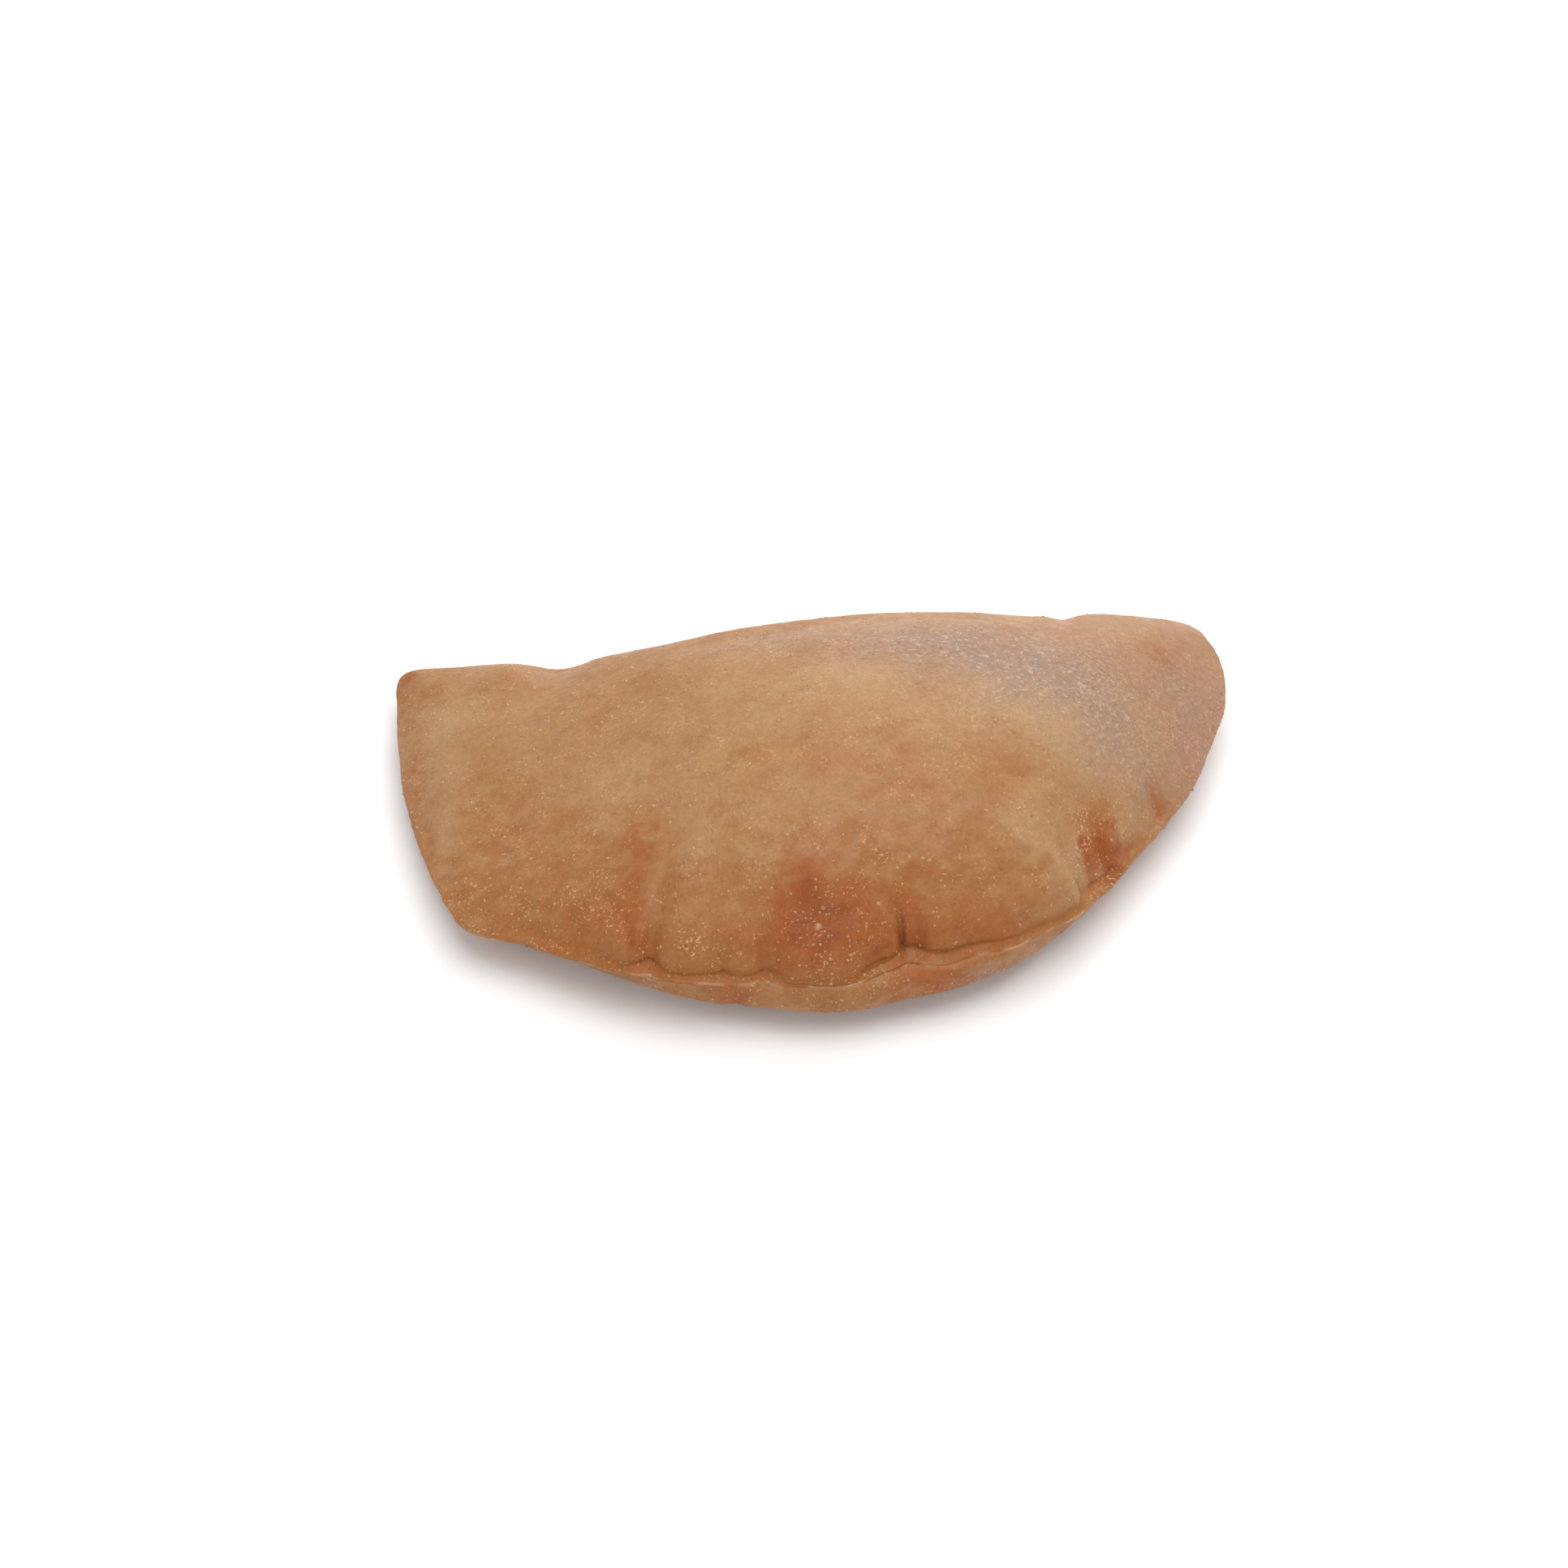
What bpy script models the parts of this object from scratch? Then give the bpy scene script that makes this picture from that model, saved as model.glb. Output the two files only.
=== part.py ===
"""A panzerotto: a fried half-moon pocket of dough, folded at the back and crimped along its curved rim.

The fold runs along X at the back (+Y) and the crimped rim faces the front (-Y). The pocket lies on
its flat underside at Z = 0, with the middle of its outline over the origin. Sizes are in
millimetres until the last step, which scales them to Blender's metres.
"""

import bpy
import numpy as np

MM = 0.001

# The seam where the upper and lower sheets of dough meet, as a closed line round the pocket.
# Columns: x, y, height above the table, crimp (1 = pressed flange with a puffed lip over it,
# 0 = the smooth fold), width of the bare flange, swell of the lower sheet past the flange.
SEAM = np.array(
    [
        (-93.5, 51.0, 8.5, 0.30, 1.0, -3.0),  # back corner of the left end
        (-94.9, 40.0, 7.5, 0.42, 1.2, -4.0),
        (-93.6, 21.7, 7.5, 0.50, 1.4, -5.0),
        (-90.2, 4.6, 7.5, 0.50, 1.4, -5.0),
        (-85.7, -11.4, 8.5, 0.55, 1.6, -5.0),
        (-79.0, -25.4, 9.5, 0.70, 2.0, -5.0),  # front corner of the left end
        (-66.0, -32.4, 11.0, 0.85, 2.2, -4.0),
        (-46.8, -42.6, 12.5, 1.00, 1.8, -2.8),
        (-32.0, -47.2, 13.5, 1.00, 2.4, -0.3),
        (-14.0, -49.4, 13.5, 1.00, 1.6, 1.8),
        (0.0, -50.4, 13.5, 1.00, 1.8, 1.8),  # foremost point
        (10.5, -47.2, 14.0, 1.00, 3.0, 3.8),
        (24.9, -45.6, 14.0, 1.00, 3.0, 2.3),
        (38.0, -42.2, 13.5, 1.00, 2.4, 0.2),
        (53.2, -32.6, 11.5, 0.90, 1.6, -1.8),
        (67.8, -16.3, 10.5, 0.80, 1.4, -4.0),
        (80.7, -0.9, 10.5, 0.70, 1.2, -5.0),
        (89.4, 14.7, 10.5, 0.60, 1.2, -5.0),
        (94.7, 28.5, 11.0, 0.50, 1.2, -5.0),  # tip of the right end
        (94.0, 42.2, 12.0, 0.35, 1.0, -4.0),
        (87.5, 48.9, 13.5, 0.20, 1.0, -3.0),  # back corner of the right end
        (69.6, 49.0, 16.0, 0.05, 1.0, -1.0),
        (45.0, 46.0, 17.5, 0.00, 1.0, 0.0),
        (5.0, 45.6, 18.0, 0.00, 1.0, 0.0),  # middle of the fold
        (-30.0, 45.0, 17.0, 0.00, 1.0, 0.0),
        (-58.0, 47.0, 12.5, 0.00, 1.0, 0.0),
        (-80.0, 51.3, 9.5, 0.10, 1.0, -1.0),
    ]
)

# Height of the puffed top along the pocket: x, height.
RIDGE = np.array(
    [
        (-96.0, 12.0),
        (-80.0, 15.0),
        (-62.0, 19.5),
        (-45.0, 25.0),
        (-20.0, 35.0),
        (8.0, 39.0),
        (30.0, 37.8),
        (50.0, 34.5),
        (68.0, 27.5),
        (82.0, 22.0),
        (96.0, 17.0),
    ]
)
RIDGE_Y = 5.0
RIDGE_BOW = 17.0  # how much further back the ridge's ends lie than its middle
RIDGE_SHARE = 0.62  # the ridge's length as a share of the pocket's
RIDGE_HALF_WIDTH = 1.5  # of the narrow loop round the ridge where the last ring runs

# Creases between the puffed lobes of the upper lip: x on the front of the seam, cut into the
# lip, half width, depth of the groove that runs on up the dome, length of that groove, and how
# far the lobe on the crease's right stands out.
CREASES = np.array(
    [
        (-71.0, 0.5, 2.0, 0.2, 4.0, 0.1),
        (-59.0, 0.8, 1.8, 0.3, 5.0, 0.3),
        (-41.0, 2.3, 2.0, 1.3, 18.0, 0.6),
        (-25.5, 1.2, 1.1, 0.4, 3.0, 0.2),
        (-17.8, 0.9, 1.0, 0.8, 7.0, -0.9),
        (-14.0, 0.4, 1.2, 0.3, 5.0, 0.5),
        (12.4, 1.9, 1.0, 2.0, 8.5, -0.7),
        (16.8, 0.8, 1.0, 0.9, 6.5, 0.4),
        (53.0, 1.0, 1.3, 0.6, 6.0, -1.7),
        (61.0, 0.9, 1.3, 0.8, 5.0, 0.4),
        (70.5, 1.2, 1.4, 0.8, 6.0, -0.8),
        (75.0, 0.3, 2.0, 0.2, 4.0, 0.0),
    ]
)
LOBE_EDGE = 0.8  # distance over which one lobe's stand changes to the next
CREASE_CORE = 0.55  # share of a crease that is a narrow core; the rest fades out more slowly
CREASE_SPREAD = 1.8  # width of that rest, in half widths
CREASED_FROM, CREASED_FULL = 0.3, 0.8  # crimp from which creases show, and where they are whole

# Broad swells and hollows of the upper sheet: x, y, height, radius along x, radius along y.
SWELLS = np.array(
    [
        (-70.0, 45.0, 3.2, 7.0, 10.0),
        (-57.0, 41.0, -3.6, 7.0, 12.0),
        (78.0, 43.0, 2.0, 9.0, 9.0),
        (58.0, 39.0, -3.6, 6.0, 10.0),
    ]
)

# Profile of a full crimp: distance in from the seam over the flange, then in from the lip's
# foot round its undercut, with the height over the seam.
FLANGE_TOP = np.array([(0.0, 0.0), (0.35, 0.7), (1.0, 0.95)])
UNDERCUT = np.array([(0.0, 0.85), (0.4, 1.3), (0.0, 2.0)])
LIP_OVERLAP = 0.4  # how far the lip's foot stands out over the bare flange
LEAST_FOOT = 1.05  # distance in from the seam of the lip's foot where the flange is narrowest
LIP_HEIGHT = 6.2
LIP_TURN = np.radians([20, 42, 64, 90])  # angles at which the lip's rings stand on its arc
LIP_REACH = 9.0  # distance in over which a full crimp's lip rounds into the dome
SOFT_REACH = 10.0  # further distance where the seam is least crimped
# Profile below the flange: distance in from the edge, height over the seam.
FLANGE_UNDER = np.array([(0.35, -0.7), (1.5, -1.05), (2.3, -1.5)])
# Distances in from the seam at which the same rings stand on the smooth fold.
FOLD_RINGS_ABOVE = np.array([0.0, 0.15, 0.5, 1.1, 1.9, 2.9, 4.1, 5.5, 7.2, 9.0])
FOLD_RINGS_BELOW = np.array([0.1, 0.35, 0.9])

STEEPNESS = 2.4  # how quickly the dome rises from the lip: 1 = evenly, more = sooner
FOLD_STEEPER = 0.8  # added to it on the fold
END_STEEPER = 0.9  # added to it for each half length beyond END_START
END_START = 0.55  # share of the half length from which the two ends count
FOLD_ROUNDNESS = 0.5  # power of the same rise on the fold, where it starts upright
FOLD_POWER = 2.2  # how quickly a seam loses the fold's shape as it is crimped
CUT_FADE = 6.0  # distance up the dome over which a crease's cut into the lip fades
CORNER_TURN = 20.0  # distance along the seam over which the rings' direction turns
BELLY_EVEN = 7.0  # distance along the seam over which the belly's outline is evened out
FOLD_RUN = 15.0  # from the fold in to where the underside meets the table
CRIMP_RUN = 24.0  # the same from a fully crimped seam
BELLY_WAIST = 0.62  # height of the lower sheet's widest line, as a share of the seam's
BELLY_TURN = 0.35  # share of the belly's rings above that line

DOME_EVEN = 8.0  # distance over which the dome's height is evened out before it is creased
EVEN_START, EVEN_FULL = 5.0, 20.0  # distances in from the seam where that begins and is whole

TOP_RINGS = 12
TOP_SPACING = 1.15  # power that draws the dome's rings towards the lip
BELLY_RINGS = 8
CRIMP_STEP = 2.4  # between stations along the crimped rim
FOLD_STEP = 6.0  # between stations along the fold

CURVE_STEPS = 24  # samples of the seam's curve from each of its points to the next

CRUST_COLOUR = (0.46, 0.23, 0.10, 1.0)
CRUST_ROUGHNESS = 0.55


def clear_scene():
    for thing in list(bpy.data.objects):
        bpy.data.objects.remove(thing)


def closed_curve(points):
    """A smooth closed line through the rows of points."""
    t = np.arange(CURVE_STEPS)[:, None] / CURVE_STEPS
    spans = []
    for i in range(len(points)):
        a, b, c, d = (points[(i + k) % len(points)] for k in (-1, 0, 1, 2))
        bend = (2 * a - 5 * b + 4 * c - d) * t**2 + (3 * b - a - 3 * c + d) * t**3
        spans.append(b + 0.5 * ((c - a) * t + bend))
    return np.concatenate(spans)


def stations_of(curve):
    """Samples of the curve, close together where it is crimped and further apart on the fold."""
    closed = np.vstack([curve, curve[:1]])
    length = np.linalg.norm(np.diff(closed[:, :2], axis=0), axis=1)
    step = FOLD_STEP + (CRIMP_STEP - FOLD_STEP) * np.clip(2 * curve[:, 3], 0, 1)
    travel = np.concatenate([[0.0], np.cumsum(length / step)])
    wanted = np.arange(0.0, travel[-1] - 0.5, 1.0)
    return np.stack([np.interp(wanted, travel, column) for column in closed.T], axis=1)


def evened(seam, values, reach):
    """The stations' values, each blended with its neighbours' within reach along the seam."""
    steps = np.roll(seam[:, :2], -1, axis=0) - np.roll(seam[:, :2], 1, axis=0)
    share = np.linalg.norm(steps, axis=1)
    arc = np.cumsum(share) / 2
    gap = np.abs(arc[:, None] - arc[None, :])
    gap = np.minimum(gap, arc[-1] - gap)
    weight = np.exp(-((gap / reach) ** 2)) * share
    return weight @ values / weight.sum(axis=1)[:, None]


def outward_of(seam):
    """Unit directions out of the pocket, seen from above, turning gently round the corners."""
    steps = np.roll(seam[:, :2], -1, axis=0) - np.roll(seam[:, :2], 1, axis=0)
    across = np.stack([steps[:, 1], -steps[:, 0]], axis=1)
    across /= np.linalg.norm(across, axis=1)[:, None]
    out = evened(seam, across, CORNER_TURN)
    return out / np.linalg.norm(out, axis=1)[:, None]


def evened_belly(seam, out):
    """Swell of the lower sheet past the flange, so that its own outline is an even curve."""
    outline = seam[:, :2] + out * seam[:, 5:]
    change = evened(seam, outline, BELLY_EVEN) - outline
    return seam[:, 5] + (change * out).sum(axis=1)


def smooth_profile(x, table):
    """A smooth curve through the table's rows of (x, value)."""
    knots, values = table.T
    slopes = np.gradient(values, knots)
    i = np.clip(np.searchsorted(knots, x) - 1, 0, len(knots) - 2)
    span = knots[i + 1] - knots[i]
    t = np.clip((x - knots[i]) / span, 0, 1)
    ends = (2 * t**3 - 3 * t**2 + 1) * values[i] + (3 * t**2 - 2 * t**3) * values[i + 1]
    return ends + span * ((t**3 - 2 * t**2 + t) * slopes[i] + (t**3 - t**2) * slopes[i + 1])


def arc_positions(seam):
    """Distance along the seam of each station."""
    steps = np.linalg.norm(np.diff(seam[:, :2], axis=0), axis=1)
    return np.concatenate([[0.0], np.cumsum(steps)])


def crease_cuts(seam):
    """How far the lip is set in at each station, and for each crease its share there."""
    arc = arc_positions(seam)
    front = seam[:, 3] > 0.5
    shares = []
    stand = np.zeros(len(seam))
    before = 0.0
    for x, _, width, _, _, lobe in CREASES:
        past = arc - np.interp(x, seam[front, 0], arc[front])
        away = np.abs(past)
        core = np.exp(-((away / width) ** 2))
        spread = np.exp(-away / (CREASE_SPREAD * width))
        shares.append(CREASE_CORE * core + (1 - CREASE_CORE) * spread)
        stand += (lobe - before) * (1 + np.tanh(past / LOBE_EDGE)) / 2
        before = lobe
    crimped = np.clip((seam[:, 3] - CREASED_FROM) / (CREASED_FULL - CREASED_FROM), 0, 1)
    shares = np.array(shares) * crimped
    return CREASES[:, 1] @ shares - stand * crimped, shares


class Pocket:
    """The two sheets of dough as rings of points, one point at each station along the seam."""

    def __init__(self):
        self.seam = stations_of(closed_curve(SEAM))
        self.x, self.y, self.z, self.crimp, self.flange, _ = self.seam.T
        self.out = outward_of(self.seam)
        self.belly = evened_belly(self.seam, self.out)
        self.cuts, self.shares = crease_cuts(self.seam)
        fold = np.clip(1 - self.crimp, 0, 1) ** FOLD_POWER
        from_middle = np.abs(self.x) / np.abs(self.x).max()
        ends = np.clip(from_middle - END_START, 0, 1)
        self.steepness = STEEPNESS + FOLD_STEEPER * fold + END_STEEPER * ends
        self.roundness = 1 + (FOLD_ROUNDNESS - 1) * fold
        bow = RIDGE_BOW * from_middle**2
        self.ridge = np.stack([self.x * RIDGE_SHARE, RIDGE_Y + bow], axis=1)
        self.ridge += self.out * RIDGE_HALF_WIDTH
        self.ray = np.linalg.norm(self.seam[:, :2] - self.ridge, axis=1)
        self.run = FOLD_RUN + (CRIMP_RUN - FOLD_RUN) * self.crimp**2
        self.foot = np.maximum(self.flange - LIP_OVERLAP, LEAST_FOOT)

    def moved_in(self, inset):
        return self.seam[:, :2] - self.out * inset[:, None]

    def upper_height(self, plan, inset, lip):
        """Height of the upper sheet over plan, a distance inset along the way in to the ridge."""
        beyond_cut = np.clip(inset - self.crimp * (self.foot + self.cuts), 0, None)
        cut = self.cuts * np.exp(-((beyond_cut / CUT_FADE) ** 2))
        foot = self.crimp * (self.foot + cut)
        share = np.clip((inset - foot) / (self.ray - foot), 0, 1)
        rise = (1 - (1 - share) ** self.steepness) ** self.roundness
        top = smooth_profile(plan[:, 0], RIDGE) + swell_height(plan)
        lift = self.crimp * LIP_HEIGHT
        return self.z + self.crimp * lip + (top - self.z - lift) * rise

    def groove_depth(self, distance):
        """Depth of the creases where they run on up the dome."""
        depth = np.zeros_like(distance)
        for (_, _, _, groove, run, _), share in zip(CREASES, self.shares):
            depth += groove * share * np.exp(-((distance / run) ** 2))
        return depth

    def carve_creases(self, ring, inset, lip):
        """Cuts the creases' grooves into a ring that stands inset from the seam."""
        beyond = np.clip(inset - self.crimp * (self.foot + self.cuts), 0, None)
        ring[:, 2] -= self.groove_depth(beyond) * lip / LIP_HEIGHT

    def crimp_profile(self):
        """Distance in from the seam and height over it for each ring of a full crimp."""
        foot = self.foot + self.cuts
        reach = LIP_REACH + SOFT_REACH * (1 - self.crimp)
        top = UNDERCUT[-1, 1]
        profile = list(FLANGE_TOP)
        profile += [(foot + inset, lip) for inset, lip in UNDERCUT]
        for turn in LIP_TURN:
            lip = top + (LIP_HEIGHT - top) * np.sin(turn)
            profile.append((foot + reach * (1 - np.cos(turn)), lip))
        return profile

    def upper_rings(self):
        rings, insets, lips = [], [], []
        for (inset, lip), fold_inset in zip(self.crimp_profile(), FOLD_RINGS_ABOVE):
            inset = self.crimp * inset + (1 - self.crimp) * fold_inset
            plan = self.moved_in(inset)
            rings.append(np.column_stack([plan, self.upper_height(plan, inset, lip)]))
            insets.append(inset)
            lips.append(lip)
        lip_plan, lip_inset = plan, inset
        for j in range(1, TOP_RINGS + 1):
            t = (j / TOP_RINGS) ** TOP_SPACING
            plan = lip_plan + (self.ridge - lip_plan) * t
            inset = lip_inset + (self.ray - lip_inset) * t
            rings.append(np.column_stack([plan, self.upper_height(plan, inset, LIP_HEIGHT)]))
            insets.append(inset)
            lips.append(LIP_HEIGHT)
        even_dome(rings, insets)
        for ring, inset, lip in zip(rings, insets, lips):
            self.carve_creases(ring, inset, lip)
        return rings

    def lower_rings(self):
        rings = []
        for (inset, drop), fold_inset in zip(FLANGE_UNDER, FOLD_RINGS_BELOW):
            round_height = self.z * np.sqrt(1 - (1 - fold_inset / self.run) ** 2)
            inset = self.crimp * inset + (1 - self.crimp) * fold_inset
            height = self.crimp * (self.z + drop) + (1 - self.crimp) * (self.z - round_height)
            rings.append(np.column_stack([self.moved_in(inset), height]))
        return rings + self.belly_rings(inset, height)

    def belly_rings(self, groove, groove_height):
        """From the groove under the flange out to the waist, then round and in to the table."""
        rings = []
        waist = groove_height * BELLY_WAIST
        fold_start = np.arccos(1 - FOLD_RINGS_BELOW[-1] / self.run)
        for j in range(1, BELLY_RINGS + 1):
            f = j / BELLY_RINGS
            out_turn = min(f / BELLY_TURN, 1.0) * np.pi / 2
            in_turn = max((f - BELLY_TURN) / (1 - BELLY_TURN), 0.0) * np.pi / 2
            inset = groove - (self.belly + groove) * np.sin(out_turn)
            inset = inset + (self.run + self.belly) * (1 - np.cos(in_turn))
            height = groove_height - (groove_height - waist) * (1 - np.cos(out_turn))
            height = height - waist * np.sin(in_turn)
            fold_turn = fold_start + (np.pi / 2 - fold_start) * f
            fold_inset = self.run * (1 - np.cos(fold_turn))
            fold_height = self.z * (1 - np.sin(fold_turn))
            inset = self.crimp * inset + (1 - self.crimp) * fold_inset
            height = self.crimp * height + (1 - self.crimp) * fold_height
            rings.append(np.column_stack([self.moved_in(inset), np.maximum(height, 0.0)]))
        return rings


def even_dome(rings, insets):
    """Evens out the height of the rings beyond the lip, more so further in from the seam."""
    first = len(FLANGE_TOP) + len(UNDERCUT)
    dome = np.concatenate(rings[first:])
    along = [np.linalg.norm(np.roll(ring, -1, axis=0) - ring, axis=1) for ring in rings[first:]]
    apart = np.linalg.norm(np.gradient(np.array(rings[first:]), axis=0), axis=2)
    gap = np.linalg.norm(dome[:, None, :2] - dome[None, :, :2], axis=2)
    weight = np.exp(-((gap / DOME_EVEN) ** 2)) * (np.array(along) * apart).reshape(-1)
    weight /= weight.sum(axis=1)[:, None]
    height = dome[:, 2]
    even = weight @ (2 * height - weight @ height)
    inward = (np.concatenate(insets[first:]) - EVEN_START) / (EVEN_FULL - EVEN_START)
    height = height + (even - height) * np.clip(inward, 0, 1)
    for ring, heights in zip(rings[first:], np.split(height, len(rings) - first)):
        ring[:, 2] = heights


def swell_height(plan):
    height = np.zeros(len(plan))
    for x, y, rise, reach_x, reach_y in SWELLS:
        away = ((plan[:, 0] - x) / reach_x) ** 2 + ((plan[:, 1] - y) / reach_y) ** 2
        height += rise * np.exp(-away)
    return height


def zipper(points, loop):
    """Triangles that close a long thin loop, stepping along its two sides from left to right."""
    left, right = np.argmin(points[loop, 0]), np.argmax(points[loop, 0])
    loop = np.roll(loop, -left)
    turn = (right - left) % len(loop)
    near = list(loop[: turn + 1])
    far = list(loop[:1]) + list(loop[: turn - 1 : -1])
    faces = []
    i = j = 0
    while i < len(near) - 1 or j < len(far) - 1:
        at_end = j == len(far) - 1
        if at_end or (i < len(near) - 1 and points[near[i + 1], 0] <= points[far[j + 1], 0]):
            faces.append((near[i], near[i + 1], far[j]))
            i += 1
        else:
            faces.append((near[i], far[j + 1], far[j]))
            j += 1
    return [face for face in faces if len(set(face)) == 3]


def pocket_mesh():
    pocket = Pocket()
    rings = pocket.lower_rings()[::-1] + pocket.upper_rings()
    count = len(pocket.seam)
    points = np.concatenate(rings)
    faces = [tuple(range(count))[::-1]]  # the flat underside
    for r in range(len(rings) - 1):
        for i in range(count):
            a, b = r * count + i, r * count + (i + 1) % count
            faces.append((a, b, b + count, a + count))
    faces += zipper(points, np.arange(count) + (len(rings) - 1) * count)
    mesh = bpy.data.meshes.new("panzerotto")
    mesh.from_pydata((points * MM).tolist(), [], faces)
    mesh.polygons.foreach_set("use_smooth", [True] * len(mesh.polygons))
    return mesh


def crust_material():
    material = bpy.data.materials.new("fried_crust")
    material.use_nodes = True
    shader = material.node_tree.nodes["Principled BSDF"]
    shader.inputs["Base Color"].default_value = CRUST_COLOUR
    shader.inputs["Roughness"].default_value = CRUST_ROUGHNESS
    shader.inputs["Metallic"].default_value = 0.0
    return material


def main():
    clear_scene()
    mesh = pocket_mesh()
    mesh.materials.append(crust_material())
    pocket = bpy.data.objects.new("panzerotto", mesh)
    bpy.context.scene.collection.objects.link(pocket)


main()
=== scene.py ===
"""The looks of a fried panzerotto: its crust with every fold and blister, a studio and a camera.

Shapes are worked out in millimetres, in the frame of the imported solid, and scaled to Blender's
metres as each mesh is made. The fold runs along X at the back (+Y), the crimped rim faces the
front (-Y), and the pocket lies on its underside at Z = 0.
"""

import math

import bpy
import numpy as np
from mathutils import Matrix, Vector, noise
from numpy.linalg import norm


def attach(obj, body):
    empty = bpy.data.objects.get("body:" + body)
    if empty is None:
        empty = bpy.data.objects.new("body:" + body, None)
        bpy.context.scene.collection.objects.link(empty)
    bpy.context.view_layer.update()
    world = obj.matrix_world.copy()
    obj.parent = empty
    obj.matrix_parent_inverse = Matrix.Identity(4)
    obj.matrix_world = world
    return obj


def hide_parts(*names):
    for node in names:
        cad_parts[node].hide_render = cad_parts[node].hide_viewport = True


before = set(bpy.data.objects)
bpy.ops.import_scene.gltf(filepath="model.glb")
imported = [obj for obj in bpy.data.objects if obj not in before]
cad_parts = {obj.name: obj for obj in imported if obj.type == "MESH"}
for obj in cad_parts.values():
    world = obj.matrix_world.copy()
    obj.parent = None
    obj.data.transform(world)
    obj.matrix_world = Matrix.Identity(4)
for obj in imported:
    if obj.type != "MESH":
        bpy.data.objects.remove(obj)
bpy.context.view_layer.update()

MM = 0.001

# The seam where the upper and lower sheets of dough meet, as a closed line round the pocket.
# Columns: x, y, height above the table, crimp (1 = pressed flange with a puffed lip over it,
# 0 = the smooth fold), width of the bare flange, swell of the lower sheet past the flange.
SEAM = np.array([
    (-93.5, 51, 8.5, 0.3, 1, -3),  # back corner of the left end
    (-94.9, 40, 7.5, 0.42, 1.2, -4),
    (-93.6, 21.7, 7.5, 0.5, 1.4, -5),
    (-90.2, 4.6, 7.5, 0.5, 1.4, -5),
    (-85.7, -11.4, 8.5, 0.55, 1.6, -5),
    (-79, -25.4, 9.5, 0.7, 2, -5),  # front corner of the left end
    (-66, -32.4, 11, 0.85, 2.2, -4),
    (-46.8, -42.6, 12.5, 1, 1.8, -2.8),
    (-32, -47.2, 13.5, 1, 2.4, -0.3),
    (-14, -49.4, 13.5, 1, 1.6, 1.8),
    (0, -50.4, 13.5, 1, 1.8, 1.8),  # foremost point
    (10.5, -47.2, 14, 1, 3, 3.8),
    (24.9, -45.6, 14, 1, 3, 2.3),
    (38, -42.2, 13.5, 1, 2.4, 0.2),
    (53.2, -32.6, 11.5, 0.9, 1.6, -1.8),
    (67.8, -16.3, 10.5, 0.8, 1.4, -4),
    (80.7, -0.9, 10.5, 0.7, 1.2, -5),
    (89.4, 14.7, 10.5, 0.6, 1.2, -5),
    (94.7, 28.5, 11, 0.5, 1.2, -5),  # tip of the right end
    (94, 42.2, 12, 0.35, 1, -4),
    (87.5, 48.9, 13.5, 0.2, 1, -3),  # back corner of the right end
    (69.6, 49, 16, 0.05, 1, -1),
    (45, 46, 17.5, 0, 1, 0),
    (5, 45.6, 18, 0, 1, 0),  # middle of the fold
    (-30, 45, 17, 0, 1, 0),
    (-58, 47, 12.5, 0, 1, 0),
    (-80, 51.3, 9.5, 0.1, 1, -1),
])

# Height of the puffed top along the pocket: x, height.
RIDGE = np.array([
    (-96, 12), (-80, 15), (-62, 19.5), (-45, 25), (-20, 35), (8, 39), (30, 37.8),
    (50, 34.5), (68, 27.5), (82, 22), (96, 17),
])
RIDGE_Y = 5.0
RIDGE_BOW = 17.0  # how much further back the ridge's ends lie than its middle
RIDGE_SHARE = 0.62  # the ridge's length as a share of the pocket's
RIDGE_HALF_WIDTH = 0.7  # of the narrow loop round the ridge where the last ring runs

# Creases between the puffed lobes of the upper lip: x on the front of the seam, cut into the
# lip, half width, depth of the groove that runs on up the dome, length of that groove, how far
# the lobe on the crease's right stands out, sharpness (1 = a knife cut, 0 = a soft dip).
CREASES = np.array([
    (-71, 0.5, 2, 0.2, 4, 0.1, 0),
    (-59, 0.8, 1.8, 0.3, 5, 0.3, 0.1),
    (-41, 2.3, 2.2, 1.4, 18, 0.6, 0.1),
    (-25.5, 1.2, 1.1, 0.4, 2.5, 0.2, 0.4),
    (-17.4, 0.9, 1.5, 0.9, 4.5, -0.9, 0.2),
    (-14, 0.4, 1.2, 0.2, 3, 0.5, 0.2),
    (12.4, 1.3, 0.6, 0.6, 6, -0.7, 0.9),
    (16.6, 0.5, 1.1, 0.4, 5, 0.4, 0.4),
    (53, 1, 1.3, 0.6, 6, -1.7, 0.4),
    (61, 0.9, 1.3, 0.8, 5, 0.4, 0.5),
    (70.5, 1.2, 1.4, 0.8, 6, -0.8, 0.3),
    (75, 0.3, 2, 0.2, 4, 0, 0),
])
LOBE_EDGE = 0.8  # distance over which one lobe's stand changes to the next

# The tables for hills() have rows of x, y, radius along x, radius along y, height or strength.
# Broad swells and hollows of the upper sheet.
SWELLS = np.array([
    (-69, 45, 7, 9, 1.6),
    (-57, 43, 7, 10, -1.9),
    (50, 43, 11, 11, -0.9),
    (58.5, 43, 3.5, 10, -1.1),
    (20, 36, 60, 16, -0.8),
    (56.8, -20, 4.6, 8, -1.7),
    (71.5, -8, 4.2, 6, -1.2),
    (39, -12.6, 5, 3.5, -0.7),
    (-69, -6, 8, 12, -0.8),
    (-82, 5, 3.5, 18, 0.6),
    (-13, 33, 10, 6, -0.5),
    (20, -6, 11, 7, 0.7),
    (-22, -14, 8, 10, 0.6),
])
# Where the flange's edge waves out of or into its line along the front: x, half width, shift.
WAVES = np.array([
    (-40, 2, -0.8), (-33, 4, 0.5), (-17, 2.5, -0.6), (-5, 5, 0.4), (13, 2.2, -0.8),
    (20.5, 4, 1.1), (36, 3, 0.5), (55, 3, -0.5),
])
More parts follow.
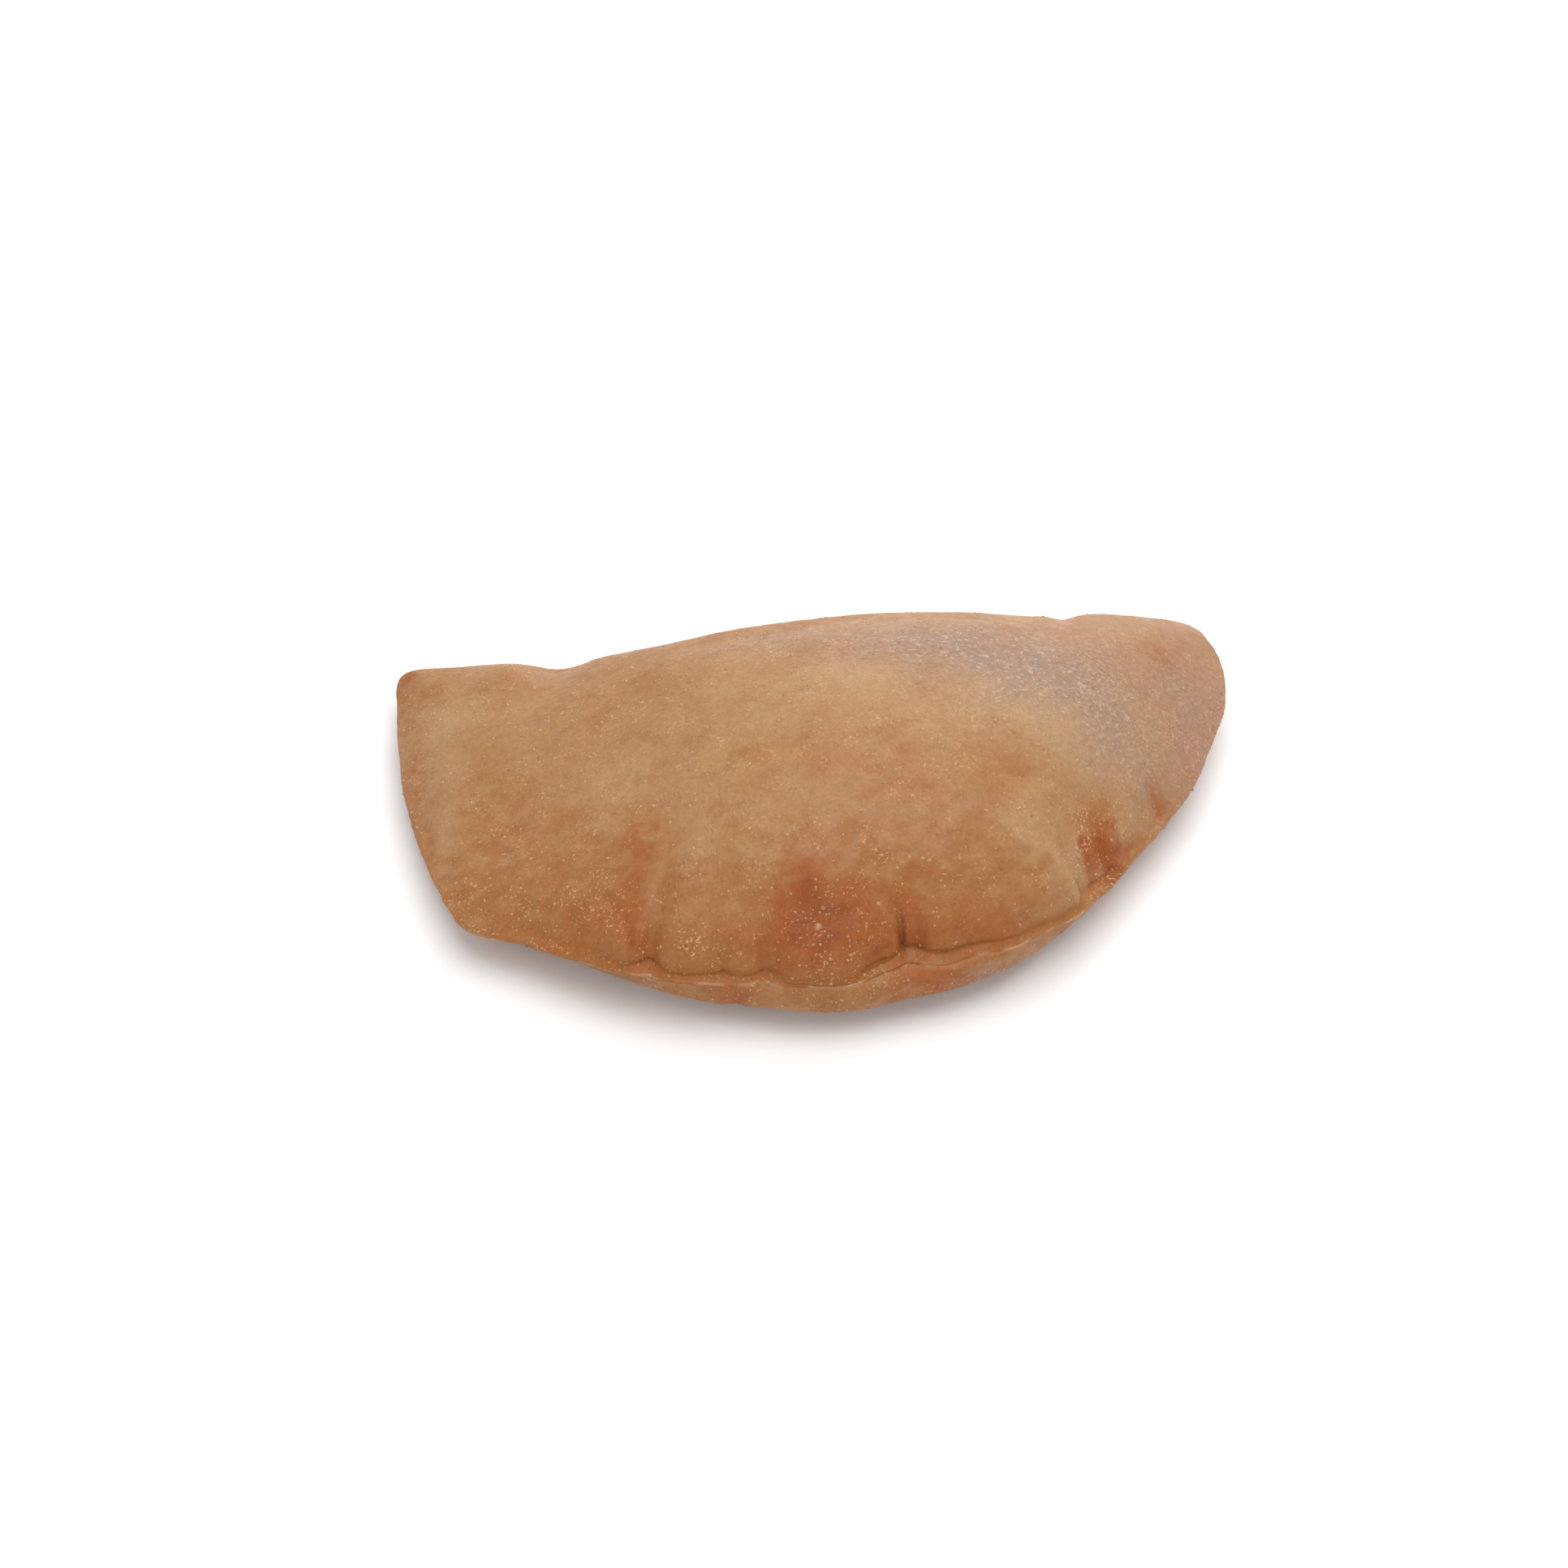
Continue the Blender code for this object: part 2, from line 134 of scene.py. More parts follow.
# Short wrinkles of the upper sheet, each from one end to the other: x, y, x, y, depth, half width.
WRINKLES = np.array([
    (-47.8, -29, -44.6, -34.6, 0.3, 1.1),
    (-44.6, -34.6, -43.4, -41.5, 0.6, 1.1),
    (4.5, -47.5, 9, -44.8, 0.6, 0.8),
    (12.5, -46.6, 11.9, -40, 0.45, 0.5),
    (60, -20.8, 67.5, -16, 0.65, 0.9),
    (71.2, -4, 74.2, -9, 0.35, 1.8),
    (54.5, -28, 52.5, -22, 0.45, 1),
    (61.5, -20.5, 60.6, -16, 0.35, 0.8),
    (82, 2, 79, 6, 0.3, 1.1),
    (-75, -24.5, -70, -20, 0.3, 1.2),
    (-64, -30, -60, -25, 0.3, 1),
    (-93, 20, -89, 19, 0.25, 1),
    (-94, 27, -91, 27.5, 0.25, 0.9),
    (-91.5, 13, -88, 11.5, 0.25, 0.9),
    (-88.5, 4, -86, 1, 0.25, 0.9),
])
BELLY_CRACK = np.array([(-23.2, -48, -20.5, -50.5, 0.5, 0.9)])  # the same on the lower sheet

# How the lip meets the flange along the front: x, how open the fold between them is (0 = grown
# together), how much of a lip there is (0 = the thin flap of the two ends).
LIP_GAP = np.array([
    (-78, 0, 0), (-71, 0.1, 0.35), (-58, 0.1, 0.5), (-45, 0.2, 1), (-41, 0.5, 1),
    (-38, 0.3, 1), (-35, 0.5, 1), (-26, 0.4, 1), (-22, 0.25, 1), (-18, 0.45, 1),
    (-12, 0.1, 1), (1, 0, 1), (5, 0.35, 1), (12, 0.7, 1), (30, 0.5, 1), (40, 0.3, 1),
    (46, 0.15, 1), (53, 0.1, 1), (60, 0.4, 0.9), (66, 0.15, 0.6), (76, 0, 0.2), (84, 0, 0),
])
# Three profiles of the rim, from the seam up to the lip's front. Columns: inset as a share of the
# flange's width, further inset, height over the seam.
LIP_OPEN = np.array([
    (0, 0, 0), (0, 0.03, 0.16), (0, 0.22, 0.3), (0.5, 0.05, 0.62), (1, -0.22, 0.92),
    (1, 0.4, 0.9), (1, 0.5, 1.12), (1, 0.12, 1.45), (1, 0, 2.1),
])
LIP_CLOSED = np.array([
    (0, 0, 0), (0, 0.03, 0.16), (0, 0.24, 0.32), (0.5, 0, 0.7), (1, -0.55, 1.02),
    (1, -0.34, 1.24), (1, -0.16, 1.46), (1, -0.05, 1.76), (1, 0, 2.1),
])
THIN_FLAP = np.array([
    (0, 0, 0), (0, 0.14, 0.42), (0, 0.5, 0.74), (0, 1.05, 0.92), (0, 1.7, 1.08),
    (0, 2.4, 1.26), (0, 3.1, 1.5), (0, 3.8, 1.78), (0, 4.5, 2.1),
])
LIP_HEIGHT = 6.2
LIP_OVERHANG = 0.4  # how far the lip hangs over the flange
NARROWEST_FLANGE = 1.05
LIP_REACH = 9.0  # distance in over which a full crimp's lip rounds into the dome
SOFT_REACH = 10.0  # further distance where the seam is least crimped
FOLD_REACH = 9.0  # distance in from the fold at which the crimp's last ring stands there
# Profile below the flange: distance in from the edge, height over the seam.
FLANGE_UNDER = np.array([(0, 0), (-0.01, -0.09), (-0.03, -0.18), (-0.08, -0.25), (-0.16, -0.28)])
FOLD_UNDER = 0.9  # distance in from the fold of the last ring of that profile

# How steeply the dome rises from a full crimp, how much more so at the fold and at the two ends,
# and how much rounder it comes up from the fold.
DOME_STEEPNESS, FOLD_STEEPER, ENDS_STEEPER, FOLD_ROUNDER = 2.4, 0.8, 0.9, 0.5
FLAP_WIDTH = 10.0  # how much further in the dome starts to rise behind a thin flap
CUT_FADE = 6.0  # distance up the dome over which a crease's cut into the lip fades
CORNER_TURN = 20.0  # distance along the seam over which the rings' direction turns
BELLY_EVEN = 7.0  # distance along the seam over which the belly's outline is evened out
DOME_EVEN = 8.0  # distance over which the dome's height is evened out before it is creased
FOLD_RUN = 15.0  # from the fold in to where the underside meets the table
CRIMP_RUN = 24.0  # the same from a fully crimped seam
# Where the underside starts closer in.
CORNERS = np.array([(-93, 49, 16, 16, 5), (91, 45, 14, 14, 4)])
BELLY_WAIST = 0.62  # height of the lower sheet's widest line, as a share of the seam's
BELLY_TURN = 0.35  # share of the belly's rings above that line
SPINE_Y = 1.0  # the line along the underside's middle, bowed back like the ridge
SPINE_BOW = 15.0
SPINE_HALF_WIDTH = 2.0

CRIMP_STEP = 0.72  # between stations along the crimped rim
FOLD_STEP = 1.3  # between stations along the fold
SHARP_STEP = 0.45  # beside a sharp crease, as a share of the usual step
RIM_RINGS = 14
LIP_RINGS = 16
DOME_RINGS = 92
FLANGE_RINGS = 5
BELLY_RINGS = 24
BASE_RINGS = 15

# Unevenness: size of the bumps, where in the noise they are taken, their height.
EDGE_WAVES = ((11, 0, 0.3), (4.5, 9, 0.22), (2, 4, 0.16))  # of the flange's edge
SEAM_WAVES = ((16, 5, 0.5),)  # of the seam's height
LIP_WAVES = ((7, 3, 0.4), (2.6, 7, 0.22))  # of the lip's foot
RELIEF = ((27, 27, 0.7), (10, 10, 0.22), (4.5, 4.5, 0.09), (1.8, 1.8, 0.05))
PUCKERS = ((2.4, 13, 0.16),)  # where blisters crowd
HOLLOWS = ((15, 2, 0.1, 0.8), (4, 6, 0, 0.2))  # of the underside, raised by the third
# How the edges of the coloured patches wander along x and along y, and how far.
WARP = (((9, 31, 1), (3.5, 11, 0.5)), ((9, 47, 1), (3.5, 17, 0.5)))
WARP_REACH = 2.0

# Patches of colour on the upper sheet and, where so named, below the flange.
TOASTED = np.array([
    (-6.5, -33.5, 5.6, 7, 0.8),
    (-11.8, -41.5, 4.4, 5.5, 0.8),
    (-3, -44, 9.5, 6, 1.1),
    (4, -38.5, 8, 6.5, 0.42),
    (-5, -38, 6, 8, 0.3),
    (-41, -18, 6.5, 8, 0.48),
    (-42.6, -28, 4, 8, 0.28),
    (-41.5, -38, 4, 7, 0.55),
    (-50.5, -34, 8, 7, 0.5),
    (-30, -43, 8, 4, 0.35),
    (-20, -43, 5, 4, 0.35),
    (-36.9, 22.5, 4.5, 4, 0.32),
    (-43, 15, 3.5, 5, 0.16),
    (39, -12.6, 6, 4, 0.36),
    (56.8, -20.8, 6.5, 7, 0.9),
    (60.5, -22.5, 4.5, 3.5, 0.2),
    (72, -8, 3.4, 5.5, 0.22),
    (76, 31, 9, 7, 0.45),
    (14, -40, 4, 8, 0.5),
    (28, -40.5, 13, 4.5, 0.45),
    (20, -31, 8, 5, 0.2),
    (13, -17, 12, 10, 0.36),
    (-6, -9, 26, 6, 0.18),
    (26, -46, 17, 4, 0.6),
    (-69, -6, 8, 11, 0.22),
    (-62, -24, 12, 8, 0.18),
    (-92, 48, 3, 3, 0.7),
])
TOASTED_BELOW = np.array([(16, -49, 15, 5, 0.75), (-21, -50, 8, 5, 0.35)])
PALE = np.array([
    (8, 13, 15, 8, 0.9),
    (40, 7, 14, 9, 0.85),
    (56, -3, 13, 10, 0.95),
    (40, -24, 10, 10, 0.85),
    (51, -29, 7, 6, 0.65),
    (-84, 32, 9, 9, 0.8),
    (-40, 8, 16, 11, 0.3),
    (-18, 17, 15, 9, 0.55),
    (-62, 18, 12, 8, 0.35),
    (69, 9, 13, 13, 0.6),
    (-43, -1, 10, 8, 0.4),
    (-84, 14, 7, 14, 0.65),
    (-82, -3, 4, 9, 0.6),
    (-70, 30, 12, 7, 0.35),
    (-28, -22, 8, 13, 0.45),
    (-12, 2, 12, 7, 0.5),
    (-62, -24, 20, 8, 0.28),
])
# Painted sheen: a greyish reflection with bright flecks, painted over the dome's upper right.
SHEEN_PATCHES = np.array([
    (20, 24, 19, 8, 0.8),
    (43, 17, 17, 12.5, 1),
    (64, 27, 8, 8, 0.35),
    (62, 10, 14, 12, 0.5),
    (68, -2, 12, 9, 0.35),
    (82, 22, 10, 12, 0.5),
    (-10, 30, 16, 6, 0.32),
])
# The same painted sheen on the belly below the flange.
SHEEN_PATCHES_BELOW = np.array([(31, -48, 16, 5, 0.75)])
ROSY = np.array([
    (-95, 22, 4, 28, 0.6),
    (-86, 14, 6, 14, 0.35),
    (92, 22, 12, 18, 1),
    (82, 4, 8, 10, 0.8),
    (62, 2, 12, 10, 0.4),
    (74, 42, 16, 6, 0.4),
])
# Where small blisters crowd on either sheet.
BLISTERED = np.array([
    (-52, -27, 8, 7, 4),
    (-70, -24, 8, 6, 3),
    (-62, -12, 7, 6, 3),
    (-5, -42, 14, 7, 1.6),
    (6, -50, 10, 3, 8),
    (57, -21, 7, 8, 5),
    (84, 3, 6, 9, 6),
    (50, 12, 16, 10, 2.5),
    (-32, -42, 7, 5, 4),
    (60, -30, 8, 5, 5),
])
BLISTER_COUNT = 2400
BLISTER_SEED = 7
SMALLEST_BLISTER, BLISTER_SPREAD = 0.18, 0.45  # radius, and how much larger it can be
BLISTER_HEIGHT = (0.35, 0.7)  # least and most, as a share of the radius
BLISTER_OVAL = (1, 1.4)
BLISTER_SIDES = 7
BLISTER_RINGS = ((1, -0.25), (0.78, 0.45), (0.42, 0.88))  # share of the radius, of the height
# The largest blisters, all on the upper sheet: x, y, radius.
LARGE_BLISTERS = np.array([
    (-5.5, -43.3, 0.85), (-4.1, -39.9, 0.6), (-3.1, -34.5, 0.45), (7.3, -38.7, 0.5),
    (7.8, -42, 0.45), (-4.9, -28.2, 0.45), (5.4, -25.3, 0.45), (-52, -26.3, 0.55),
    (-56.3, -23.6, 0.45), (-36.9, -32.8, 0.45), (-29.2, -27.4, 0.45), (-60.7, -4.6, 0.45),
    (16.9, -31.4, 0.45), (18.4, -31.8, 0.5),
])


def spline(a, b, c, d, t):
    """A smooth curve from b at t = 0 to c at t = 1, a being the point before and d the next."""
    bend = (2 * a - 5 * b + 4 * c - d) * t**2 + (3 * b - a - 3 * c + d) * t**3
    return b + 0.5 * ((c - a) * t + bend)


def closed_curve(points, steps=24):
    """A smooth closed line through the rows of points, with steps samples from each to the next."""
    t = np.arange(steps)[:, None] / steps
    shifted = [np.roll(points, -k, axis=0) for k in (-1, 0, 1, 2)]
    return np.concatenate([spline(*four, t) for four in zip(*shifted)])


def spread(line, steps, count=None):
    """Samples evenly spaced along a line whose steps are that long: count of them, or else about
    one for each unit of length without the line's end."""
    travel = np.concatenate([[0], np.cumsum(steps)])
    wanted = np.linspace(0, travel[-1], count or round(travel[-1]), endpoint=bool(count))
    return np.stack([np.interp(wanted, travel, column) for column in line.T], axis=1)


def open_curve(points, count, steps=24):
    """A smooth line through the rows of points, as count samples evenly spaced along it."""
    ends = np.vstack([2 * points[0] - points[1], points, 2 * points[-1] - points[-2]])
    line = np.vstack([closed_curve(ends, steps)[steps : steps * len(points)], points[-1:]])
    return spread(line, norm(np.diff(line, axis=0), axis=1), count)


def stations_of(curve):
    """Samples of the curve, close together where it is crimped and further apart on the fold."""
    closed = np.vstack([curve, curve[:1]])
    length = norm(np.diff(closed[:, :2], axis=0), axis=1)
    step = FOLD_STEP + (CRIMP_STEP - FOLD_STEP) * np.clip(2 * curve[:, 3], 0, 1)
    sharp_x = CREASES[CREASES[:, 6] > 0.5, 0]
    away = np.abs(curve[:, :1] - sharp_x).min(axis=1)
    away[curve[:, 3] < 0.8] = np.inf
    step *= SHARP_STEP + (1 - SHARP_STEP) * ease(away, 1, 3)
    return spread(closed, length / step)


def unit(rows):
    return rows / norm(rows, axis=1)[:, None]


def steps_past(seam):
    """The step from the station before each station to the one after it, seen from above."""
    return np.roll(seam[:, :2], -1, axis=0) - np.roll(seam[:, :2], 1, axis=0)


def evening_weights(seam, reach):
    """Weights that blend each station's value with its neighbours' within reach along the seam."""
    share = norm(steps_past(seam), axis=1)
    arc = np.cumsum(share) / 2
    gap = np.abs(arc[:, None] - arc[None, :])
    gap = np.minimum(gap, arc[-1] - gap)
    weight = np.exp(-((gap / reach) ** 2)) * share
    return weight / weight.sum(axis=1)[:, None]


def outward_of(seam):
    """Unit directions out of the pocket, seen from above, turning gently round the corners."""
    steps = steps_past(seam)
    across = unit(np.stack([steps[:, 1], -steps[:, 0]], axis=1))
    return unit(evening_weights(seam, CORNER_TURN) @ across)


def evened_belly(seam, out):
    """Swell of the lower sheet past the flange, so that its own outline is an even curve."""
    outline = seam[:, :2] + out * seam[:, 5:]
    change = evening_weights(seam, BELLY_EVEN) @ outline - outline
    return seam[:, 5] + (change * out).sum(axis=1)


def smooth_profile(x, table):
    """A smooth curve through the table's rows of (x, value)."""
    knots, values = table.T
    slopes = np.gradient(values, knots)
    i = np.clip(np.searchsorted(knots, x) - 1, 0, len(knots) - 2)
    span = knots[i + 1] - knots[i]
    t = np.clip((x - knots[i]) / span, 0, 1)
    ends = (2 * t**3 - 3 * t**2 + 1) * values[i] + (3 * t**2 - 2 * t**3) * values[i + 1]
    return ends + span * ((t**3 - 2 * t**2 + t) * slopes[i] + (t**3 - t**2) * slopes[i + 1])


def ease(x, low, high):
    """0 up to low, 1 from high on, and an even rise between them."""
    t = np.clip((x - low) / (high - low), 0, 1)
    return t * t * (3 - 2 * t)


def bumps(points, size, shift=0):
    """Smooth noise between about -1 and 1, whose bumps are size across."""
    places = points[:, :3] / size + shift
    return np.array([noise.noise(place) for place in places])


def unevenness(points, layers):
    """Sum of layers of smooth noise given as rows of size, shift, height."""
    return sum(height * bumps(points, size, shift) for size, shift, height in layers)


def hills(plan, rows):
    """Sum of the rounded hills of a table."""
    x, y, reach_x, reach_y, rise = rows.T[..., None]
    away = ((plan[:, 0] - x) / reach_x) ** 2 + ((plan[:, 1] - y) / reach_y) ** 2
    return (rise * np.exp(-away)).sum(axis=0)


def furrows(plan, rows):
    """Depth of rounded furrows given as rows of x, y, x, y, depth, half width."""
    depth = np.zeros(len(plan))
    for x0, y0, x1, y1, deep, width in rows:
        start, along = np.array((x0, y0)), np.array((x1 - x0, y1 - y0))
        share = np.clip((plan - start) @ along / (along @ along), 0, 1)
        away = norm(plan - start - share[:, None] * along, axis=1)
        depth = np.maximum(depth, deep * np.exp(-((away / width) ** 2)))
    return depth


def crease_cuts(seam):
    """How far the lip is set in at each station, and for each crease its share there."""
    steps = norm(np.diff(seam[:, :2], axis=0), axis=1)
    arc = np.concatenate([[0], np.cumsum(steps)])
    front = seam[:, 3] > 0.5
    x, cut, width, _, _, lobe, sharp = CREASES.T[..., None]
    past = arc - np.interp(x, seam[front, 0], arc[front])
    away = np.abs(past) / width
    crimped = np.clip(2 * seam[:, 3] - 0.6, 0, 1)
    shares = ((1 - sharp) * np.exp(-(away**2)) + sharp * np.exp(-0.8 * away)) * crimped
    steps_out = np.diff(lobe, axis=0, prepend=0)
    stand = (steps_out * (1 + np.tanh(past / LOBE_EDGE)) / 2).sum(axis=0)
    return cut[:, 0] @ shares - stand * crimped, shares


def between(rows, place):
    """A point of the smooth curve through the rows, place being counted in rows from the first."""
    i = min(int(place), len(rows) - 2)
    before, after = rows[max(i - 1, 0)], rows[min(i + 2, len(rows) - 1)]
    return spline(before, rows[i], rows[i + 1], after, place - i)


def blended(places, sources, values, weights, reach, batch=4000):
    """Values at the places, each a blend of those of the sources within about reach of it."""
    result = np.empty(len(places))
    for start in range(0, len(places), batch):
        part = slice(start, start + batch)
        gap = places[part, None, :] - sources[None, :, :]
        near = np.exp(-(gap**2).sum(axis=2) / reach**2) * weights
        result[part] = near @ values / near.sum(axis=1)
    return result


class Skin:
    """The pocket's skin as rings of points round it, from the middle of the underside to the ridge."""

    def __init__(self):
        self.seam = stations_of(closed_curve(SEAM))
        self.out = outward_of(self.seam)
        self.cuts, self.shares = crease_cuts(self.seam)
        self.wave_seam()
        self.x, _, self.z, self.crimp, flange, _ = self.seam.T
        fold = np.clip(1 - self.crimp, 0, 1) ** 2.2
        ends = np.clip(np.abs(self.x) / 95 - 0.55, 0, 1)
        self.steepness = DOME_STEEPNESS + FOLD_STEEPER * fold + ENDS_STEEPER * ends
        self.roundness = 1 - FOLD_ROUNDER * fold
        self.ridge = self.bowed_line(RIDGE_Y, RIDGE_BOW, RIDGE_HALF_WIDTH)
        self.ray = norm(self.seam[:, :2] - self.ridge, axis=1)
        self.run = FOLD_RUN + (CRIMP_RUN - FOLD_RUN) * self.crimp**2
        self.run -= hills(self.seam[:, :2], CORNERS)
        self.foot = np.maximum(flange - LIP_OVERHANG, NARROWEST_FLANGE)
        self.cuts += unevenness(self.seam, LIP_WAVES)
        places, *columns = LIP_GAP.T
        self.gap, self.lipped = (np.interp(self.x, places, column) for column in columns)

    def wave_seam(self):
        """Waves the flange's edge and its height, and works out the belly's swell below it."""
        crimp = self.seam[:, 3]
        waves = unevenness(self.seam, EDGE_WAVES)
        for x, width, shift in WAVES:
            waves += shift * np.exp(-(((self.seam[:, 0] - x) / width) ** 2))
        self.seam[:, :2] += self.out * (waves * np.sqrt(np.clip(crimp, 0, 1)))[:, None]
        self.belly = evened_belly(self.seam, self.out)
        self.seam[:, 2] += unevenness(self.seam, SEAM_WAVES) * crimp
        self.seam[:, 2] += hills(self.seam[:, :2], SWELLS) * (1 - crimp)

    def bowed_line(self, y, bow, half_width):
        """A narrow loop round a line along the pocket, whose ends lie further back by bow."""
        back = bow * (self.x / np.abs(self.x).max()) ** 2
        line = np.stack([self.x * RIDGE_SHARE, y + back], axis=1)
        return line + self.out * half_width

    def from_fold(self, folded, crimped):
        """What each station has, from the fold's value to a full crimp's."""
        return self.crimp * crimped + (1 - self.crimp) * folded

    def moved_in(self, inset):
        return self.seam[:, :2] - self.out * inset[:, None]

    def upper_height(self, plan, inset, lip):
        """Height of the upper sheet over plan, a distance inset along the way in to the ridge."""
        beyond_cut = np.maximum(inset - self.crimp * (self.foot + self.cuts), 0)
        cut = self.cuts * np.exp(-((beyond_cut / CUT_FADE) ** 2))
        foot = self.crimp * (self.foot + cut)
        share = np.clip((inset - foot) / (self.ray - foot), 0, 1)
        rise = (1 - (1 - share) ** self.steepness) ** self.roundness
        top = smooth_profile(plan[:, 0], RIDGE)
        return self.z + self.crimp * lip + (top - self.z - self.crimp * LIP_HEIGHT) * rise

    def groove_depth(self, distance):
        """Depth of the creases where they run on up the dome."""
        _, _, _, groove, run, _, _ = CREASES.T[..., None]
        return (groove * self.shares * np.exp(-((distance / run) ** 2))).sum(axis=0)

    def crimp_profile(self):
        """Distance in from the seam and height over it for each ring of a full crimp."""
        foot = self.foot + self.cuts

        def placed(rows):
            return np.stack([rows[:, :1] * foot + rows[:, 1:2], rows[:, 2:] + 0 * foot], axis=1)

        lip = placed(LIP_CLOSED) + (placed(LIP_OPEN) - placed(LIP_CLOSED)) * self.gap
        rim = placed(THIN_FLAP) + (lip - placed(THIN_FLAP)) * self.lipped
        profile = [between(rim, place) for place in np.linspace(0, len(rim) - 1, RIM_RINGS)]
        start, top = rim[-1]
        reach = LIP_REACH + SOFT_REACH * (1 - self.crimp)
        for share in np.linspace(0, 1, LIP_RINGS + 1)[1:]:
            turn = share * np.pi / 2
            slope = 1 - (1 - share) ** 1.6
            round_in, round_up = 1 - np.cos(turn), np.sin(turn)
            inset = start + reach * (share + (round_in - share) * self.lipped)
            up = slope + (round_up - slope) * self.lipped
            profile.append((inset, top + (LIP_HEIGHT - top) * up))
        return profile

    def upper_rings(self):
        """From the seam over the lip and up the dome to the ridge."""
        rings = []
        profile = self.crimp_profile()
        foot = self.crimp * (self.foot + self.cuts) + FLAP_WIDTH * (1 - self.lipped)
        for k, (inset, lip) in enumerate(profile):
            fold_inset = FOLD_REACH * (k / (len(profile) - 1)) ** 1.6
            rise_inset = inset = self.from_fold(fold_inset, inset)
            if k < RIM_RINGS:
                rise_inset = np.minimum(inset, foot + (1 - self.crimp) * fold_inset)
            plan = self.moved_in(inset)
            rings.append(np.c_[plan, self.upper_height(plan, rise_inset, lip)])
        lip_plan, lip_inset = plan, inset
        for j in range(1, DOME_RINGS + 1):
            t = (j / DOME_RINGS) ** 1.1
            plan = lip_plan + (self.ridge - lip_plan) * t
            inset = lip_inset + (self.ray - lip_inset) * t
            rings.append(np.c_[plan, self.upper_height(plan, inset, LIP_HEIGHT)])
        return rings

    def flange_rings(self):
        """From just under the seam in to the groove between the flange and the belly."""
        rings = []
        for k, (inset, drop) in enumerate(open_curve(FLANGE_UNDER, FLANGE_RINGS + 1)):
            fold_inset = FOLD_UNDER * (k / FLANGE_RINGS) ** 2
            round_height = self.z * np.sqrt(1 - (1 - fold_inset / self.run) ** 2)
            inset = self.from_fold(fold_inset, inset)
            height = self.from_fold(self.z - round_height, self.z + drop)
            rings.append(np.c_[self.moved_in(inset), height])
        return rings[1:], inset, height

    def belly_rings(self, groove, groove_height):
        """From the groove under the flange out to the waist, then round and in to the table."""
        rings = []
        waist = groove_height * BELLY_WAIST
        fold_start = np.arccos(1 - FOLD_UNDER / self.run)
        for j in range(1, BELLY_RINGS + 1):
            f = j / BELLY_RINGS
            out_turn = min(f / BELLY_TURN, 1) * np.pi / 2
            in_turn = max((f - BELLY_TURN) / (1 - BELLY_TURN), 0) * np.pi / 2
            inset = groove - (self.belly + groove) * np.sin(out_turn)
            inset = inset + (self.run + self.belly) * (1 - np.cos(in_turn))
            height = groove_height - (groove_height - waist) * (1 - np.cos(out_turn))
            height = height - waist * np.sin(in_turn)
            fold_turn = fold_start + (np.pi / 2 - fold_start) * f
            fold_inset = self.run * (1 - np.cos(fold_turn))
            fold_height = self.z * (1 - np.sin(fold_turn))
            plan = self.moved_in(self.from_fold(fold_inset, inset))
            height = np.maximum(self.from_fold(fold_height, height), 0)
            rings.append(np.c_[plan, height])
        return rings

    def base_rings(self, rim):
        """Across the underside, from where it meets the table in to its middle line."""
        spine = self.bowed_line(SPINE_Y, SPINE_BOW, SPINE_HALF_WIDTH)
        rings = []
        for j in range(1, BASE_RINGS + 1):
            plan = rim[:, :2] + (spine - rim[:, :2]) * j / BASE_RINGS
            rings.append(np.c_[plan, np.zeros(len(plan))])
        return rings

    def grid(self):
        """All rings as one array, and the number of the ring that is the seam."""
        under, groove, groove_height = self.flange_rings()
        belly = self.belly_rings(groove, groove_height)
        lower = under + belly + self.base_rings(belly[-1])
        return np.array(lower[::-1] + self.upper_rings()), len(lower)


def normals_of(points, shape):
    """Unit normals out of the pocket at the points, which make a grid of rings of that shape."""
    grid = points.reshape(shape)
    along = np.roll(grid, -1, axis=1) - np.roll(grid, 1, axis=1)
    normals = np.cross(along, np.gradient(grid, axis=0)).reshape(-1, 3)
    return normals / np.maximum(norm(normals, axis=1), 1e-9)[:, None]


def areas_of(grid):
    """How much of the skin each point of the grid of rings stands for."""
    along = norm(np.roll(grid, -1, axis=1) - grid, axis=2)
    return along * norm(np.gradient(grid, axis=0), axis=2)


def quads(first, rings, count):
    """Faces between rings of count points each, the points being numbered on from first."""
    faces = []
    for low in range(first, first + (rings - 1) * count, count):
        for k in range(count):
            a, b = low + k, low + (k + 1) % count
            faces.append((a, b, b + count, a + count))
    return faces


def zipper(points, loop):
    """Triangles that close a long thin loop, stepping along its two sides from left to right."""
    left, right = np.argmin(points[loop, 0]), np.argmax(points[loop, 0])
    loop = np.roll(loop, -left)
    turn = (right - left) % len(loop)
    near = list(loop[: turn + 1])
    far = list(loop[:1]) + list(loop[: turn - 1 : -1])
    faces = []
    i = j = 0
    while i < len(near) - 1 or j < len(far) - 1:
        at_end = j == len(far) - 1
        if at_end or (i < len(near) - 1 and points[near[i + 1], 0] <= points[far[j + 1], 0]):
            faces.append((near[i], near[i + 1], far[j]))
            i += 1
        else:
            faces.append((near[i], far[j + 1], far[j]))
            j += 1
    return [face for face in faces if len(set(face)) == 3]


def travel_over(grid, seam):
    """Distance along the skin from the ring that is the seam to every ring."""
    gaps = norm(np.diff(grid, axis=0), axis=2)
    below = np.cumsum(gaps[:seam][::-1], axis=0)[::-1]
    above = np.cumsum(gaps[seam:], axis=0)
    return np.concatenate([below, np.zeros((1, grid.shape[1])), above])


